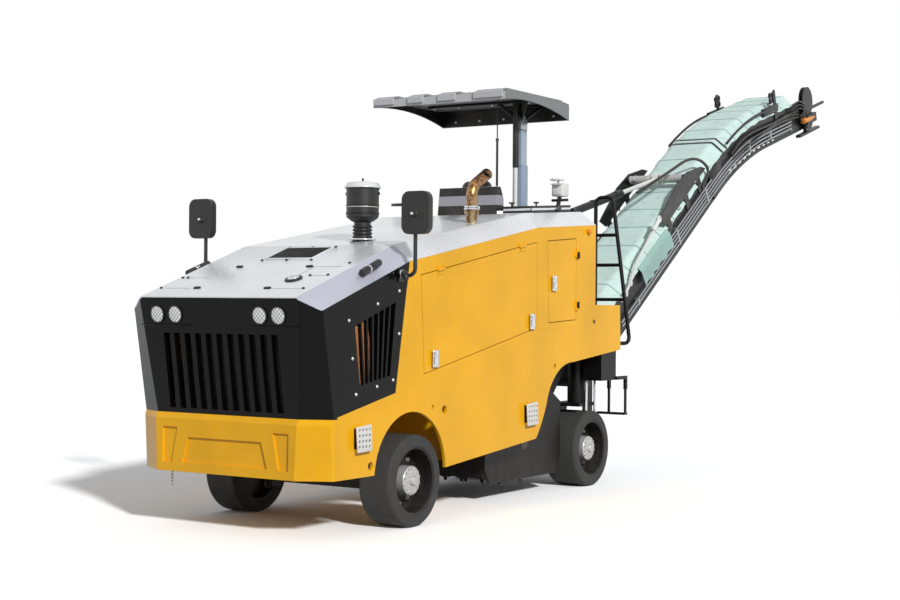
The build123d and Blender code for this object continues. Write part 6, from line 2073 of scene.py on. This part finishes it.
@dataclass
class Studio:
    """Floor, lights and camera."""

    azimuth: float = 0.571616
    pitch: float = 0.001165
    roll: float = 0.008005
    focal: float = 1570.22
    place: Point = (9.27502, 7.08957, 1.60745)
    key_from: Point = (0.469, 0.746, 0.474)
    key_power: float = 2.9
    key_softness: float = 5.0
    sky_power: float = 0.34
    floor_seen: Point = (1.4, 1.4, 1.4)
    floor_bounce: Point = (0.42, 0.42, 0.42)

    def build(self) -> None:
        """Set the stage."""
        self.camera()
        self.floor()
        self.lights()

    def camera(self) -> None:
        """Place the camera."""
        ahead = Vector((-math.cos(self.azimuth), -math.sin(self.azimuth), 0.0))
        up = Vector((0.0, 0.0, 1.0))
        right = ahead.cross(up)
        look = ahead * math.cos(self.pitch) + up * math.sin(self.pitch)
        top = right.cross(look)
        right, top = (
            right * math.cos(self.roll) + top * math.sin(self.roll),
            -right * math.sin(self.roll) + top * math.cos(self.roll),
        )
        data = bpy.data.cameras.new("camera")
        data.sensor_width = 36.0
        data.lens = self.focal / 900.0 * 36.0
        data.clip_end = 200.0
        camera = bpy.data.objects.new("camera", data)
        bpy.context.collection.objects.link(camera)
        turn = Matrix((right, top, -look)).transposed().to_4x4()
        camera.matrix_world = Matrix.Translation(at(*self.place)) @ turn
        bpy.context.scene.camera = camera

    def floor(self) -> None:
        """Lay a plain pale floor, seen white where the light falls."""
        Shop.clear()
        bpy.ops.mesh.primitive_plane_add(size=400.0, location=(0, 0, 0))
        floor = Shop.settle("floor")
        bench = NodeBench("floor_pale")
        path = bench.node("LightPath")
        seen = bench.maths("MAXIMUM", path.outputs["Is Camera Ray"], path.outputs["Is Glossy Ray"])
        colour = bench.mix(seen, self.floor_bounce, self.floor_seen)
        floor.data.materials.append(
            bench.close(colour, 0.8, bench.bump(bench.noise(30.0), 0.02, 0.01), Specular_IOR_Level=0.0)
        )

    def lights(self) -> None:
        """Hang the soft key light and a pale sky."""
        data = bpy.data.lights.new("key", "SUN")
        data.energy = self.key_power
        data.angle = math.radians(self.key_softness)
        lamp = bpy.data.objects.new("key", data)
        bpy.context.collection.objects.link(lamp)
        lamp.rotation_euler = Vector(self.key_from).to_track_quat("Z", "Y").to_euler()
        world = bpy.data.worlds.new("sky")
        world.use_nodes = True
        nodes, links = world.node_tree.nodes, world.node_tree.links
        nodes["Background"].inputs["Color"].default_value = (0.95, 0.97, 1.0, 1.0)
        nodes["Background"].inputs["Strength"].default_value = self.sky_power
        pale = nodes.new("ShaderNodeBackground")
        pale.inputs["Color"].default_value = (1.0, 1.0, 1.0, 1.0)
        blend = nodes.new("ShaderNodeMixShader")
        path = nodes.new("ShaderNodeLightPath")
        seen = path.outputs["Is Camera Ray"]
        for extra in ("Is Glossy Ray", "Is Transmission Ray"):
            either = nodes.new("ShaderNodeMath")
            either.operation = "MAXIMUM"
            links.new(seen, either.inputs[0])
            links.new(path.outputs[extra], either.inputs[1])
            seen = either.outputs[0]
        links.new(seen, blend.inputs[0])
        links.new(nodes["Background"].outputs[0], blend.inputs[1])
        links.new(pale.outputs[0], blend.inputs[2])
        links.new(blend.outputs[0], nodes["World Output"].inputs["Surface"])
        bpy.context.scene.world = world
        bpy.context.scene.view_settings.view_transform = "Standard"


def main() -> None:
    """Build everything in order."""
    logging.basicConfig(level=logging.INFO, format="%(name)s: %(message)s")
    for part in (Studio(), Solids(), Wheels(), FrontEnd(), HoodTop(), Tarp(), ConveyorGear(), SideFittings(),
        Hubs(), AirCleaner(), Mirrors(), Seat(), UpperFittings(), RearFittings(),
    ):
        part.build()


if __name__ == "__main__":
    main()
